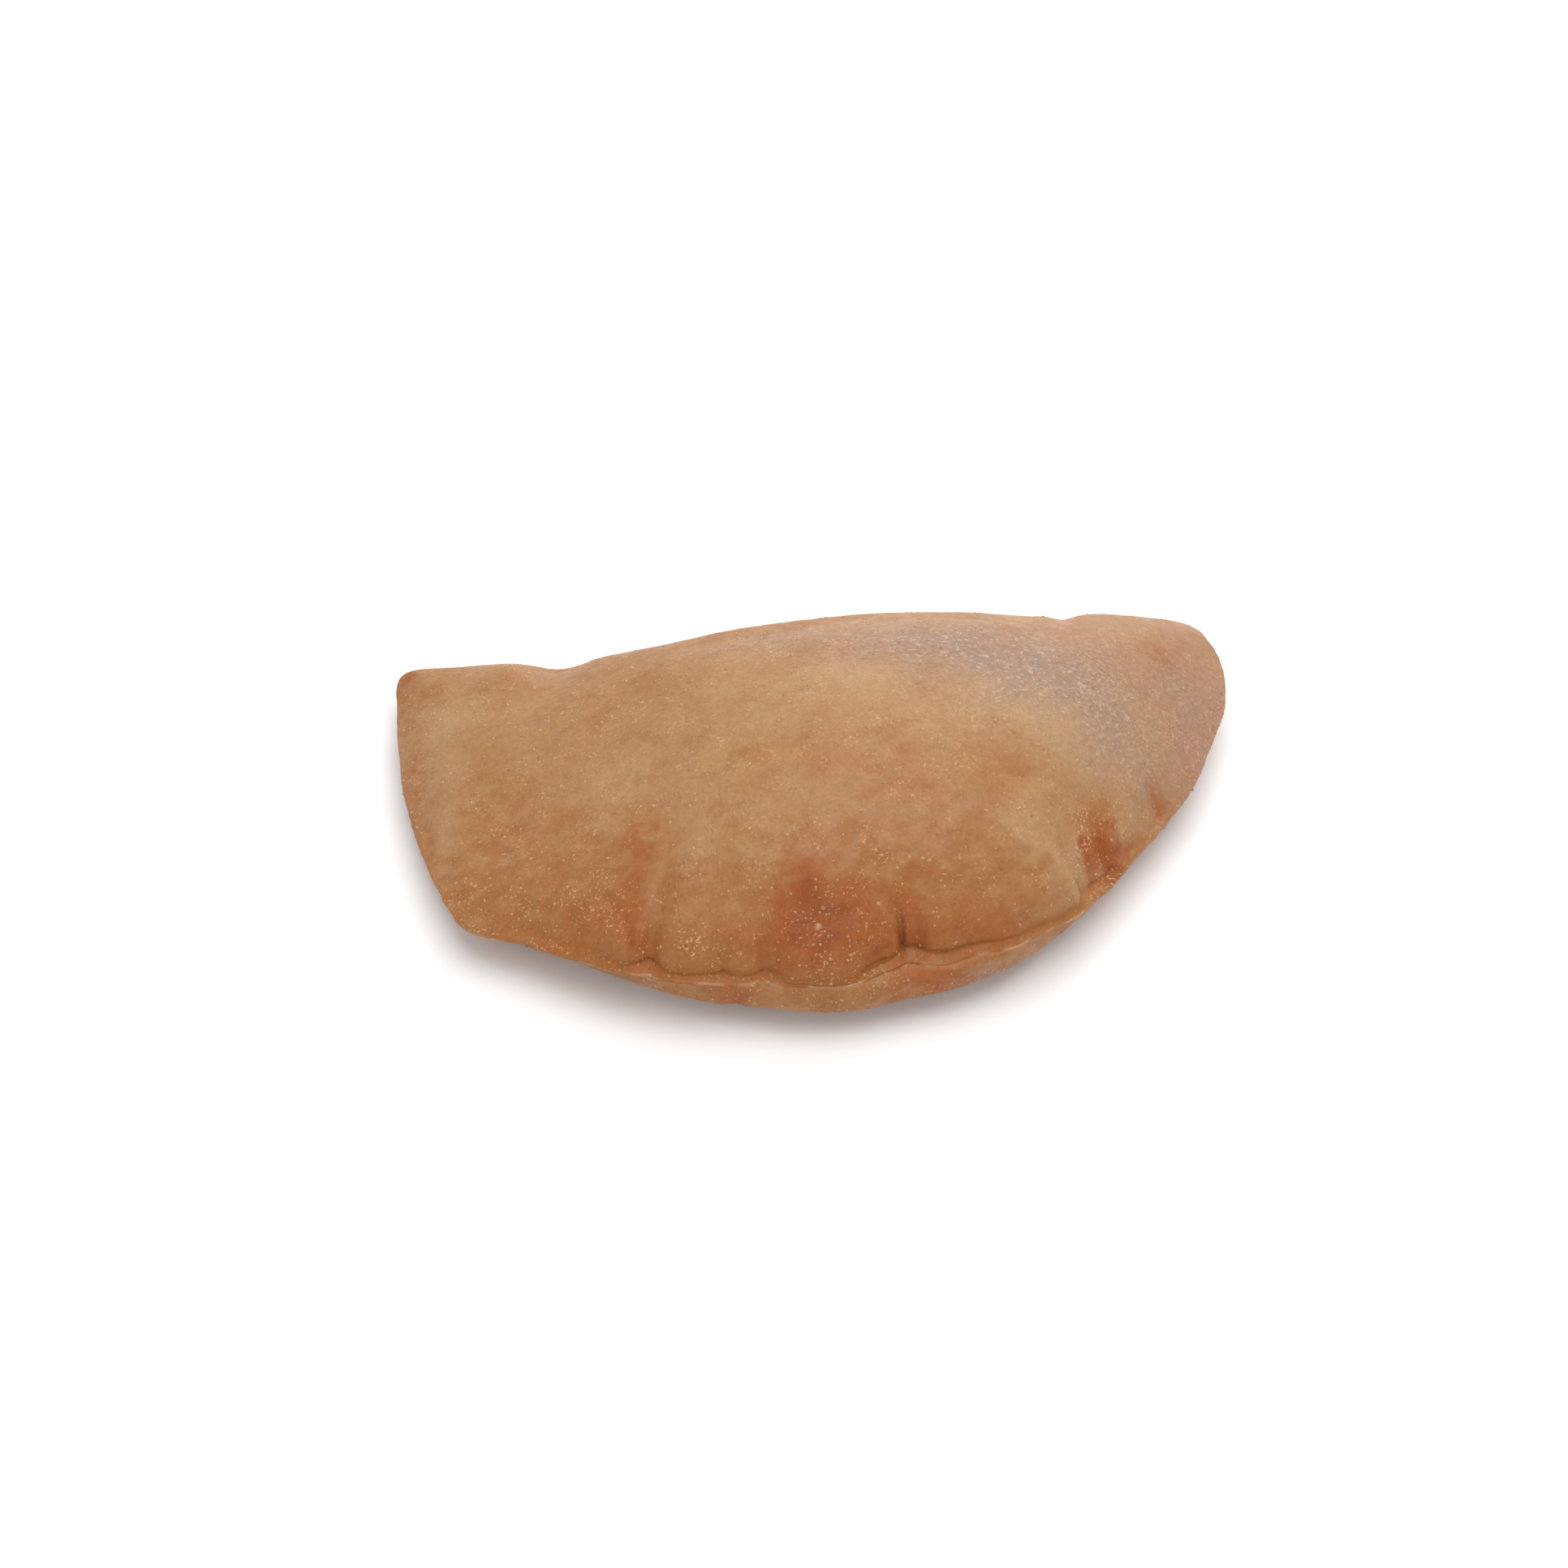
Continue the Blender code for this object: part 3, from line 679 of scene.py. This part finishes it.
class Crust:
    """The skin with its relief, as points, faces, an unrolled map and the masks that colour it."""

    def __init__(self):
        self.skin = Skin()
        grid, self.seam_ring = self.skin.grid()
        self.rings, self.count = grid.shape[:2]
        self.above = np.repeat(np.arange(self.rings) >= self.seam_ring, self.count)
        travel = travel_over(grid, self.seam_ring)
        self.from_seam = travel.reshape(-1)
        self.crimp = self.per_point(self.skin.crimp)
        self.even_dome(grid, travel)
        self.plan = grid.reshape(-1, 3)[:, :2]
        self.lay_relief(grid)
        self.normals = normals_of(self.points, grid.shape)
        self.map = self.unrolled(grid, travel)
        self.make_faces()

    def per_point(self, values):
        """One value for each station, repeated on every ring."""
        return np.tile(values, self.rings)

    def even_dome(self, grid, travel):
        """Evens out the dome's height, more so further in, then cuts its creases."""
        first = self.seam_ring + RIM_RINGS
        dome = grid[first:]
        weights = areas_of(dome)[::4, ::5].reshape(-1)
        source = dome[::4, ::5].reshape(-1, 3)
        places = dome.reshape(-1, 3)
        plan, height = source[:, :2], source[:, 2]
        left = height - blended(plan, plan, height, weights, DOME_EVEN)
        even = blended(places[:, :2], plan, height + left, weights, DOME_EVEN)
        inward = ease(travel[first:], 5, 20)
        dome[:, :, 2] += (even.reshape(inward.shape) - dome[:, :, 2]) * inward
        upper = grid[self.seam_ring :]
        travel = travel[self.seam_ring :]
        behind_fold, behind_lip = ease(travel, 0, 6), ease(travel, 3.5, 10)
        fade = self.skin.from_fold(behind_fold, behind_lip)
        upper[:, :, 2] += hills(upper.reshape(-1, 3)[:, :2], SWELLS).reshape(fade.shape) * fade
        for ring in range(self.seam_ring, self.rings):
            up_lip = ease(ring, self.seam_ring + RIM_RINGS - 3, first + LIP_RINGS / 2)
            beyond = np.maximum(travel[ring - self.seam_ring] - self.skin.foot - 6, 0)
            grid[ring, :, 2] -= self.skin.groove_depth(beyond) * up_lip

    def lay_relief(self, grid):
        """Moves the points by the crust's bumps, its wrinkles and the underside's hollows."""
        points = grid.reshape(-1, 3)
        calm = 1 - self.crimp * (1 - ease(self.from_seam, 2, 14)) * 0.75
        height = unevenness(points, RELIEF) * calm
        puckered = np.clip(hills(points[:, :2], BLISTERED) / 8, 0, 1) * self.above
        height += puckered * unevenness(points, PUCKERS)
        points = points + normals_of(points, grid.shape) * height[:, None]
        depth = np.where(self.above, furrows(self.plan, WRINKLES), furrows(self.plan, BELLY_CRACK))
        depth *= ease(self.from_seam, 0.8, 2.6)
        points -= normals_of(points, grid.shape) * depth[:, None]
        # Kept to paint shade along the wrinkles and the crack.
        self.furrowed = np.clip(depth, 0, 1)
        hollow = 0
        for size, shift, raised, height in HOLLOWS:
            hollow += height * np.clip(bumps(points, size, shift) + raised, 0, 1)
        inward = ease(self.from_seam, 26, 44) * ~self.above
        points[:, 2] = np.maximum(points[:, 2], hollow * inward)
        self.points = points

    def unrolled(self, grid, travel):
        """A flat map of each sheet: the skin's own lengths laid out round its middle line."""
        seam = self.seam_ring
        maps = {}
        for upper, middle, rings in ((True, -1, slice(seam, None)), (False, 0, slice(0, seam + 1))):
            centre = grid[middle, :, :2]
            away = unit(grid[seam, :, :2] - centre)
            maps[upper] = centre + away * (travel[middle] - travel[rings])[:, :, None]
        return maps

    def make_faces(self):
        base = np.arange(self.count)
        ridge = base + (self.rings - 1) * self.count
        self.faces = [face[::-1] for face in zipper(self.points, base)]
        self.faces += quads(0, self.rings, self.count) + zipper(self.points, ridge)

    def lower_sheet(self):
        """1 on the lower sheet and 0 on the upper one, with a gradual change round the fold."""
        round_fold = ease(self.from_seam, 2, 18)
        return ~self.above * (self.crimp + (1 - self.crimp) * round_fold)

    def toast_and_crease_shade(self, plan):
        """Browned patches, painted shade in the creases, wrinkles and the belly's crack, and blotches
        over the underside and round the fold.
        """
        toast_and_crease_shade = hills(plan, TOASTED) * self.above + hills(plan, TOASTED_BELOW) * ~self.above
        behind = np.maximum(self.lower_sheet(), ease(self.plan[:, 1], 34, 46))
        toast_and_crease_shade += 0.5 * ease(bumps(self.points, 19, 71), 0.12, 0.5) * behind
        # Painted shade: darker near the rim's creases and along the cut wrinkles.
        creased = self.per_point(self.skin.shares.max(axis=0)) * self.above
        creased *= 1 - ease(self.from_seam, 6, 14)
        return np.clip(toast_and_crease_shade + 0.3 * creased + 0.8 * self.furrowed, 0, 1.2)

    def ruddy(self, plan, warp, pale):
        """A band along the crimped rim, fainter towards the right end, and the lower sheet."""
        near_rim = self.from_seam + 9 * warp[:, 0]
        ruddy = 1.15 * self.above * self.crimp * (1 - ease(near_rim, 2, 50))
        ruddy *= 1 - 0.7 * np.maximum(ease(plan[:, 0], 24, 52), pale)
        return np.clip(ruddy + self.lower_sheet() * (0.75 + 0.5 * warp[:, 1]), 0, 1.2)

    def flange_tone_and_groove_shade(self, warp, front):
        """The flange's own darker tone, with painted shade growing in the groove between it and the
        lip.
        """
        past_flange = self.from_seam - self.per_point(self.skin.foot)
        flange_tone_and_groove_shade = 0.55 + 0.45 * ease(past_flange, -1.2, 0.2)
        flange_tone_and_groove_shade *= 1 - 0.6 * ease(self.plan[:, 0], 48, 62)
        flange_tone_and_groove_shade *= self.above * (1 - ease(past_flange, 1, 3.2)) * front
        return np.clip(flange_tone_and_groove_shade * (0.9 + 0.4 * warp[:, 1]), 0, 1)

    def masks(self):
        """How much each point shows of every colour that crust_colour mixes in."""
        warp = np.column_stack([unevenness(self.points, layers) for layers in WARP])
        plan = self.plan + WARP_REACH * warp
        front = ease(self.crimp, 0.6, 0.95)
        pale = np.clip(hills(plan, PALE) * self.above, 0, 1)
        # Painted sheen: a greyish reflection painted on the dome's upper right and on the belly below
        # the flange.
        below_flange = ~self.above * ease(self.from_seam, 1, 5)
        painted_sheen = hills(plan, SHEEN_PATCHES) * self.above + hills(plan, SHEEN_PATCHES_BELOW) * below_flange
        lipped = self.per_point(ease(self.skin.lipped, 0.9, 1))
        # A painted highlight along the flange's thin edge, broken up by noise.
        edge = (1 - ease(self.from_seam, 0.12, 0.45)) * lipped * front
        return {
            "toast_and_crease_shade": self.toast_and_crease_shade(plan),
            "ruddy": self.ruddy(plan, warp, pale),
            "pale": pale,
            "flange_tone_and_groove_shade": self.flange_tone_and_groove_shade(warp, front),
            "painted_sheen": np.clip(painted_sheen, 0, 1),
            "rosy": np.clip(hills(plan, ROSY), 0, 1),
            "edge": edge * ease(bumps(self.points, 5, 55), -0.1, 0.35),
            "blistered": np.clip(hills(plan, BLISTERED) / 7, 0, 1) * (0.4 + 0.6 * self.above),
        }


def mesh_object(name, points, faces, material):
    mesh = bpy.data.meshes.new(name)
    mesh.from_pydata((points * MM).tolist(), [], faces)
    mesh.polygons.foreach_set("use_smooth", [True] * len(mesh.polygons))
    mesh.materials.append(material)
    thing = bpy.data.objects.new(name, mesh)
    bpy.context.scene.collection.objects.link(thing)
    return thing


class Nodes:
    """A material's node tree, with short ways to add to it. Lengths are in millimetres."""

    def __init__(self, name):
        self.material = bpy.data.materials.new(name)
        self.material.use_nodes = True
        self.tree = self.material.node_tree
        self.shader = self.tree.nodes["Principled BSDF"]
        metres = self.add("ShaderNodeTexCoord").outputs["Object"]
        scaled = self.add("ShaderNodeVectorMath", {0: metres, "Scale": 1 / MM}, operation="SCALE")
        self.place = scaled.outputs[0]

    def add(self, kind, sources=None, **settings):
        node = self.tree.nodes.new(kind)
        for name, value in settings.items():
            setattr(node, name, value)
        self.feed(node, sources or {})
        return node

    def feed(self, node, sources):
        """Feeds a node's inputs, by name or number, from other nodes' sockets or plain values."""
        for key, source in sources.items():
            if isinstance(source, bpy.types.NodeSocket):
                self.tree.links.new(source, node.inputs[key])
            else:
                node.inputs[key].default_value = source

    def attribute(self, name):
        return self.add("ShaderNodeAttribute", attribute_name=name).outputs["Fac"]

    def noise(self, size, detail=2, stretch=None):
        place = self.place
        if stretch:
            place = self.add("ShaderNodeMapping", {0: place, "Scale": stretch}).outputs[0]
        sources = {"Vector": place, "Scale": 1 / size, "Detail": detail}
        return self.add("ShaderNodeTexNoise", sources).outputs["Fac"]

    def dots(self, size, radius, soft):
        """Round dots, one to a cell of the given size: 1 inside radius, 0 past radius + soft."""
        node = self.add("ShaderNodeTexVoronoi", {"Vector": self.place, "Scale": 1 / size})
        return self.span(node.outputs["Distance"], (radius + soft) / size, radius / size)

    def span(self, value, low, high, start=0, end=1):
        """The value mapped so that low gives start and high gives end, and no further."""
        sources = dict(enumerate((value, low, high, start, end)))
        return self.add("ShaderNodeMapRange", sources, interpolation_type="SMOOTHSTEP").outputs[0]

    def maths(self, operation, a, b):
        return self.add("ShaderNodeMath", {0: a, 1: b}, operation=operation).outputs[0]

    def times(self, a, b):
        return self.maths("MULTIPLY", a, b)

    def plus(self, a, b):
        return self.maths("ADD", a, b)

    def mix(self, share, a, b, blend="MIX"):
        node = self.add("ShaderNodeMix", {0: share}, data_type="RGBA", blend_type=blend)
        sockets = [i for i, socket in enumerate(node.inputs) if socket.type == "RGBA"]
        colours = [(*c, 1) if isinstance(c, tuple) else c for c in (a, b)]
        self.feed(node, dict(zip(sockets, colours)))
        return next(socket for socket in node.outputs if socket.type == "RGBA")

    def bump(self, height, depth):
        return self.add("ShaderNodeBump", {"Height": height, "Distance": depth * MM}).outputs[0]


# Colours of the crust, as linear red, green and blue.
TAN = (0.385, 0.192, 0.077)
GOLD = (0.410, 0.218, 0.094)
AMBER = (0.350, 0.150, 0.050)
PALE_DOUGH = (0.440, 0.262, 0.123)
RUDDY = (0.335, 0.136, 0.040)
# Browning; these two darker colours also stand for painted shade in creases, wrinkles and pits.
TOAST_AND_CREASE_SHADE = (0.322, 0.091, 0.017)
DEEP_TOAST_AND_SHADE = (0.205, 0.042, 0.006)
# The painted sheen's greyish tint, and its bright flecks of painted glint.
SHEEN_TINT = (0.312, 0.207, 0.152)
SHEEN_GLINT_FLECKS = (0.470, 0.356, 0.284)
ROSE = (0.385, 0.210, 0.132)
# Painted highlight along the flange's thin edge.
EDGE_HIGHLIGHT = (0.520, 0.330, 0.200)
# The flange's darker tone, with painted shade in the groove under the lip.
FLANGE_TONE_AND_GROOVE_SHADE = (0.325, 0.108, 0.020)
PINPRICK = (0.080, 0.030, 0.012)
# Paler blister skin, which also stands for painted glint.
BLISTER_SKIN_AND_GLINT = (0.550, 0.305, 0.150)
# Painted glint of the crust's tiny bubbles.
PAINTED_GLINT = (0.610, 0.365, 0.185)


def mottled(nodes, mask, uneven, full, amount):
    """The mask made uneven, by up to amount where the mask is full or more."""
    return nodes.plus(mask, nodes.times(uneven, nodes.span(mask, 0, full, 0, amount)))


def crust_colour(nodes, fine, crowded, strokes):
    """Mottled tan, the masks' colours over it, then painted glints, painted shade in small pits,
    pinpricks and grain.
    """
    broad = nodes.noise(14, 3)
    middling = nodes.noise(6.5, 3, (0.75, 1, 1))
    uneven = nodes.span(nodes.noise(3.2, 3, (0.7, 1, 1)), 0.3, 0.7, -0.5, 0.5)
    colour = nodes.mix(nodes.span(broad, 0.36, 0.64), TAN, GOLD)
    colour = nodes.mix(nodes.span(middling, 0.46, 0.74, 0, 0.8), colour, AMBER)
    pale = nodes.plus(nodes.attribute("pale"), nodes.times(uneven, 0.3))
    colour = nodes.mix(nodes.span(pale, 0.1, 1.1), colour, PALE_DOUGH)
    colour = nodes.mix(nodes.times(nodes.attribute("rosy"), 0.85), colour, ROSE)
    ruddy = mottled(nodes, nodes.attribute("ruddy"), uneven, 0.4, 0.5)
    colour = nodes.mix(nodes.span(ruddy, 0, 1), colour, RUDDY)
    # Painted sheen, flecked with painted glints, in patches over its mask.
    sheen_colour = nodes.mix(nodes.span(strokes, 0.52, 0.66), SHEEN_TINT, SHEEN_GLINT_FLECKS)
    patchy = nodes.span(nodes.noise(5, 3), 0.3, 0.6, 0.6, 1)
    painted_sheen = nodes.times(nodes.attribute("painted_sheen"), patchy)
    colour = nodes.mix(nodes.times(painted_sheen, 0.85), colour, sheen_colour)
    # Browned patches, with painted shade in the creases and wrinkles.
    browning_and_shade = mottled(nodes, nodes.attribute("toast_and_crease_shade"), uneven, 0.5, 0.34)
    colour = nodes.mix(nodes.span(browning_and_shade, 0, 1.1), colour, TOAST_AND_CREASE_SHADE)
    colour = nodes.mix(nodes.span(browning_and_shade, 0.8, 1.7, 0, 0.9), colour, DEEP_TOAST_AND_SHADE)
    # Painted shade in the groove under the lip over the flange's tone, and a painted highlight on the
    # flange's edge.
    for name, share, overlay_colour in (("flange_tone_and_groove_shade", 0.85, FLANGE_TONE_AND_GROOVE_SHADE), ("edge", 0.65, EDGE_HIGHLIGHT)):
        colour = nodes.mix(nodes.times(nodes.attribute(name), share), colour, overlay_colour)
    # Painted glints: small bright flecks, more of them where blisters crowd.
    painted_glints = nodes.span(nodes.plus(fine, nodes.times(crowded, 0.12)), 0.69, 0.8)
    colour = nodes.mix(nodes.times(painted_glints, 0.7), colour, PAINTED_GLINT)
    # Painted shade: small dark flecks in the low spots of the fine bumps.
    pit_shade = nodes.span(nodes.plus(fine, nodes.times(crowded, -0.08)), 0.3, 0.2)
    colour = nodes.mix(nodes.times(pit_shade, 0.35), colour, DEEP_TOAST_AND_SHADE)
    pricks = nodes.times(nodes.dots(6.5, 0.06, 0.16), nodes.span(nodes.noise(9), 0.5, 0.6))
    colour = nodes.mix(nodes.times(pricks, 0.6), colour, PINPRICK)
    grain = nodes.span(nodes.noise(1.6, 3), 0.25, 0.75, 0.94, 1.06)
    grain = nodes.times(grain, nodes.span(fine, 0.25, 0.65, 0.9, 1.04))
    grey = nodes.add("ShaderNodeCombineColor", {0: grain, 1: grain, 2: grain})
    return nodes.mix(1, colour, grey.outputs[0], blend="MULTIPLY")


def crust_material():
    nodes = Nodes("fried_crust_skin")
    fine = nodes.noise(0.7, 2.5)
    crowded = nodes.span(nodes.noise(7), 0.42, 0.64, 0, 0.7)
    crowded = nodes.plus(crowded, nodes.times(nodes.attribute("blistered"), 0.7))
    strokes = nodes.noise(1, 6, (0.8, 1.1, 1))
    ridges = nodes.times(nodes.noise(1.6, 3, (0.7, 1.4, 1)), 0.6)
    bubbles = nodes.times(fine, nodes.plus(nodes.times(crowded, 0.8), 0.25))
    # Where the sheen is painted, the fine strokes also bump the surface more.
    crinkled = nodes.plus(nodes.times(nodes.attribute("painted_sheen"), 1.2), 0.1)
    height = nodes.plus(nodes.plus(ridges, bubbles), nodes.times(strokes, crinkled))
    nodes.feed(nodes.shader, {
        "Base Color": crust_colour(nodes, fine, crowded, strokes),
        "Roughness": nodes.span(nodes.noise(3, 3), 0.3, 0.7, 0.4, 0.58),
        "Specular IOR Level": 0.28,
        "Subsurface Weight": 0.35,
        "Subsurface Radius": (1, 0.35, 0.15),
        "Subsurface Scale": 1.5 * MM,
        "Normal": nodes.bump(height, 0.25),
    })
    return nodes.material


def blister_material():
    nodes = Nodes("blister_skin")
    fine, strokes = nodes.noise(0.7, 2.5), nodes.noise(1, 2.5)
    colour = crust_colour(nodes, fine, nodes.attribute("blistered"), strokes)
    # Paler skin with painted glint, by amounts that vary over the blisters.
    paler_skin_and_glint = nodes.span(nodes.noise(2, 1), 0.35, 0.65, 0.08, 0.55)
    colour = nodes.mix(paler_skin_and_glint, colour, BLISTER_SKIN_AND_GLINT)
    nodes.feed(nodes.shader, {"Base Color": colour, "Specular IOR Level": 0.5, "Roughness": 0.25})
    return nodes.material


def floor_material():
    nodes = Nodes("pale_floor")
    nodes.feed(nodes.shader, {"Base Color": (*FLOOR_COLOUR, 1), "Roughness": 0.6})
    return nodes.material


def add_masks(mesh, masks):
    for name, values in masks.items():
        layer = mesh.attributes.new(name, "FLOAT", "POINT")
        layer.data.foreach_set("value", values.astype(np.float32))


def numbers_of(items, name):
    numbers = np.empty(len(items), np.int64)
    items.foreach_get(name, numbers)
    return numbers


MAP_MARGIN = 0.005  # kept free along the map's edges and between its halves


def add_map(mesh, crust):
    """The two unrolled sheets side by side in one map: the upper one above, the lower below."""
    count, seam = crust.count, crust.seam_ring
    sheets = {}
    for upper, laid in crust.map.items():
        low, high = laid.min(axis=(0, 1)), laid.max(axis=(0, 1))
        share = (laid - low) / (high - low)
        foot = MAP_MARGIN + 0.5 * upper
        sheets[upper] = share * (1 - 2 * MAP_MARGIN, 0.5 - 2 * MAP_MARGIN) + (MAP_MARGIN, foot)
    corners = numbers_of(mesh.loops, "vertex_index")
    starts = numbers_of(mesh.polygons, "loop_start")
    totals = numbers_of(mesh.polygons, "loop_total")
    rings, stations = corners // count, corners % count
    highest = np.maximum.reduceat(rings, starts)
    upper_face = np.repeat(highest > seam, totals)
    places = np.where(
        upper_face[:, None],
        sheets[True][np.maximum(rings - seam, 0), stations],
        sheets[False][np.minimum(rings, seam), stations],
    )
    layer = mesh.uv_layers.new(name="OFBake")
    layer.data.foreach_set("uv", places.astype(np.float32).reshape(-1))


def scatter(crust, draw, weight, count):
    """Numbers of points of the crust drawn at random, by weight for each square millimetre."""
    grid = crust.points.reshape(crust.rings, crust.count, 3)
    chance = areas_of(grid).reshape(-1) * weight
    return draw.choice(len(chance), count, p=chance / chance.sum())


def blister_mesh(centres, normals, radii, heights, draw):
    """Small domes on the crust as one mesh, each a little oval and turned its own way."""
    count = len(centres)
    side = unit(np.cross(normals, draw.normal(size=(count, 3))))
    across = np.cross(normals, side)
    oval = draw.uniform(*BLISTER_OVAL, count)
    points = []
    for share, lift in BLISTER_RINGS:
        rise = normals * (heights * lift)[:, None]
        for k in range(BLISTER_SIDES):
            turn = 2 * np.pi * k / BLISTER_SIDES
            flat = side * (np.cos(turn) * oval)[:, None] + across * np.sin(turn)
            points.append(centres + flat * (radii * share)[:, None] + rise)
    points.append(centres + normals * heights[:, None])
    stride = len(points)
    points = np.stack(points, axis=1).reshape(-1, 3)
    faces = []
    for start in range(0, count * stride, stride):
        faces += quads(start, len(BLISTER_RINGS), BLISTER_SIDES)
        tip = start + stride - 1
        high = tip - BLISTER_SIDES
        for k in range(BLISTER_SIDES):
            faces.append((high + k, high + (k + 1) % BLISTER_SIDES, tip))
    return points, faces


def make_blisters(crust, masks):
    """Small blisters in clusters and the largest ones, as one piece with the crust's masks."""
    draw = np.random.default_rng(BLISTER_SEED)
    clusters = np.exp(2 * bumps(crust.points, 8, 90)) * (1.5 + hills(crust.plan, BLISTERED))
    clusters *= ease(crust.points[:, 2], 0.5, 3)
    chosen = scatter(crust, draw, clusters, BLISTER_COUNT)
    radii = SMALLEST_BLISTER + BLISTER_SPREAD * draw.beta(1.1, 5, len(chosen))
    upper = np.flatnonzero(crust.above)
    away = [norm(crust.plan[upper] - row[:2], axis=1) for row in LARGE_BLISTERS]
    chosen = np.append(chosen, [upper[gap.argmin()] for gap in away])
    radii = np.append(radii, LARGE_BLISTERS[:, 2])
    places, normals = crust.points[chosen], crust.normals[chosen]
    heights = radii * draw.uniform(*BLISTER_HEIGHT, len(chosen))
    points, faces = blister_mesh(places, normals, radii, heights, draw)
    blisters = mesh_object("blisters", points, faces, blister_material())
    each = len(points) // len(chosen)
    add_masks(blisters.data, {name: np.repeat(mask[chosen], each) for name, mask in masks.items()})
    return blisters


# The studio, in metres: each light's name, place, size, power and colour.
LIGHTS = (
    ("overhead", (0.08, 0.05, 0.75), (0.7, 0.7), 4, (1, 0.98, 0.95)),
    ("fill", (-0.1, -0.75, 0.4), (0.9, 0.5), 1, (1, 0.98, 0.95)),
    ("window", (0.22, 0.62, 0.24), (0.6, 0.25), 1.4, (0.94, 0.96, 1)),
)
SKY_COLOUR = (0.95, 0.97, 1)
SKY_STRENGTH = 0.68
FLOOR_REACH = 2000.0  # millimetres, like the next
FLOOR_DROP = 0.1  # below the underside
FLOOR_COLOUR = (0.9, 0.9, 0.9)


def pointed(name, data, place, direction):
    """A light or a camera at its place, pointing in a direction."""
    thing = bpy.data.objects.new(name, data)
    thing.location = place
    thing.rotation_mode = "QUATERNION"
    thing.rotation_quaternion = direction.to_track_quat("-Z", "Y")
    bpy.context.scene.collection.objects.link(thing)
    return thing


def add_light(name, place, size, power, colour, aim=(0, 0, 0.015)):
    data = bpy.data.lights.new(name, "AREA")
    data.shape = "RECTANGLE"
    data.size, data.size_y = size
    data.energy = power
    data.color = colour
    light = pointed(name, data, place, Vector(aim) - Vector(place))
    light.visible_camera = False


def make_studio():
    world = bpy.data.worlds.new("studio")
    world.use_nodes = True
    background = world.node_tree.nodes["Background"]
    background.inputs["Color"].default_value = (*SKY_COLOUR, 1)
    background.inputs["Strength"].default_value = SKY_STRENGTH
    bpy.context.scene.world = world
    for light in LIGHTS:
        add_light(*light)
    square = ((-1, -1), (1, -1), (1, 1), (-1, 1))
    corners = np.array([(x * FLOOR_REACH, y * FLOOR_REACH, -FLOOR_DROP) for x, y in square])
    mesh_object("floor", corners, [(0, 1, 2, 3)], floor_material())


CAMERA_AZIMUTH = -4.5
CAMERA_ELEVATION = 48.0
CAMERA_DISTANCE = 0.5225
CAMERA_TARGET = (-0.0087, 0.0034, 0.016)
CAMERA_LENS = 55.0


def make_camera():
    data = bpy.data.cameras.new("camera")
    data.lens = CAMERA_LENS
    data.sensor_width = 36
    data.clip_start, data.clip_end = 0.01, 10
    azimuth, elevation = math.radians(CAMERA_AZIMUTH), math.radians(CAMERA_ELEVATION)
    level = math.cos(elevation)
    back = Vector((math.sin(azimuth) * level, -math.cos(azimuth) * level, math.sin(elevation)))
    place = Vector(CAMERA_TARGET) + back * CAMERA_DISTANCE
    bpy.context.scene.camera = pointed("camera", data, place, -back)
    bpy.context.scene.view_settings.view_transform = "Standard"


def main():
    crust = Crust()
    masks = crust.masks()
    piece = mesh_object("crust", crust.points, crust.faces, crust_material())
    add_masks(piece.data, masks)
    add_map(piece.data, crust)
    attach(piece, "root")
    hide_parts("panzerotto")
    blisters = make_blisters(crust, masks)
    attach(blisters, "root")
    make_studio()
    make_camera()


main()
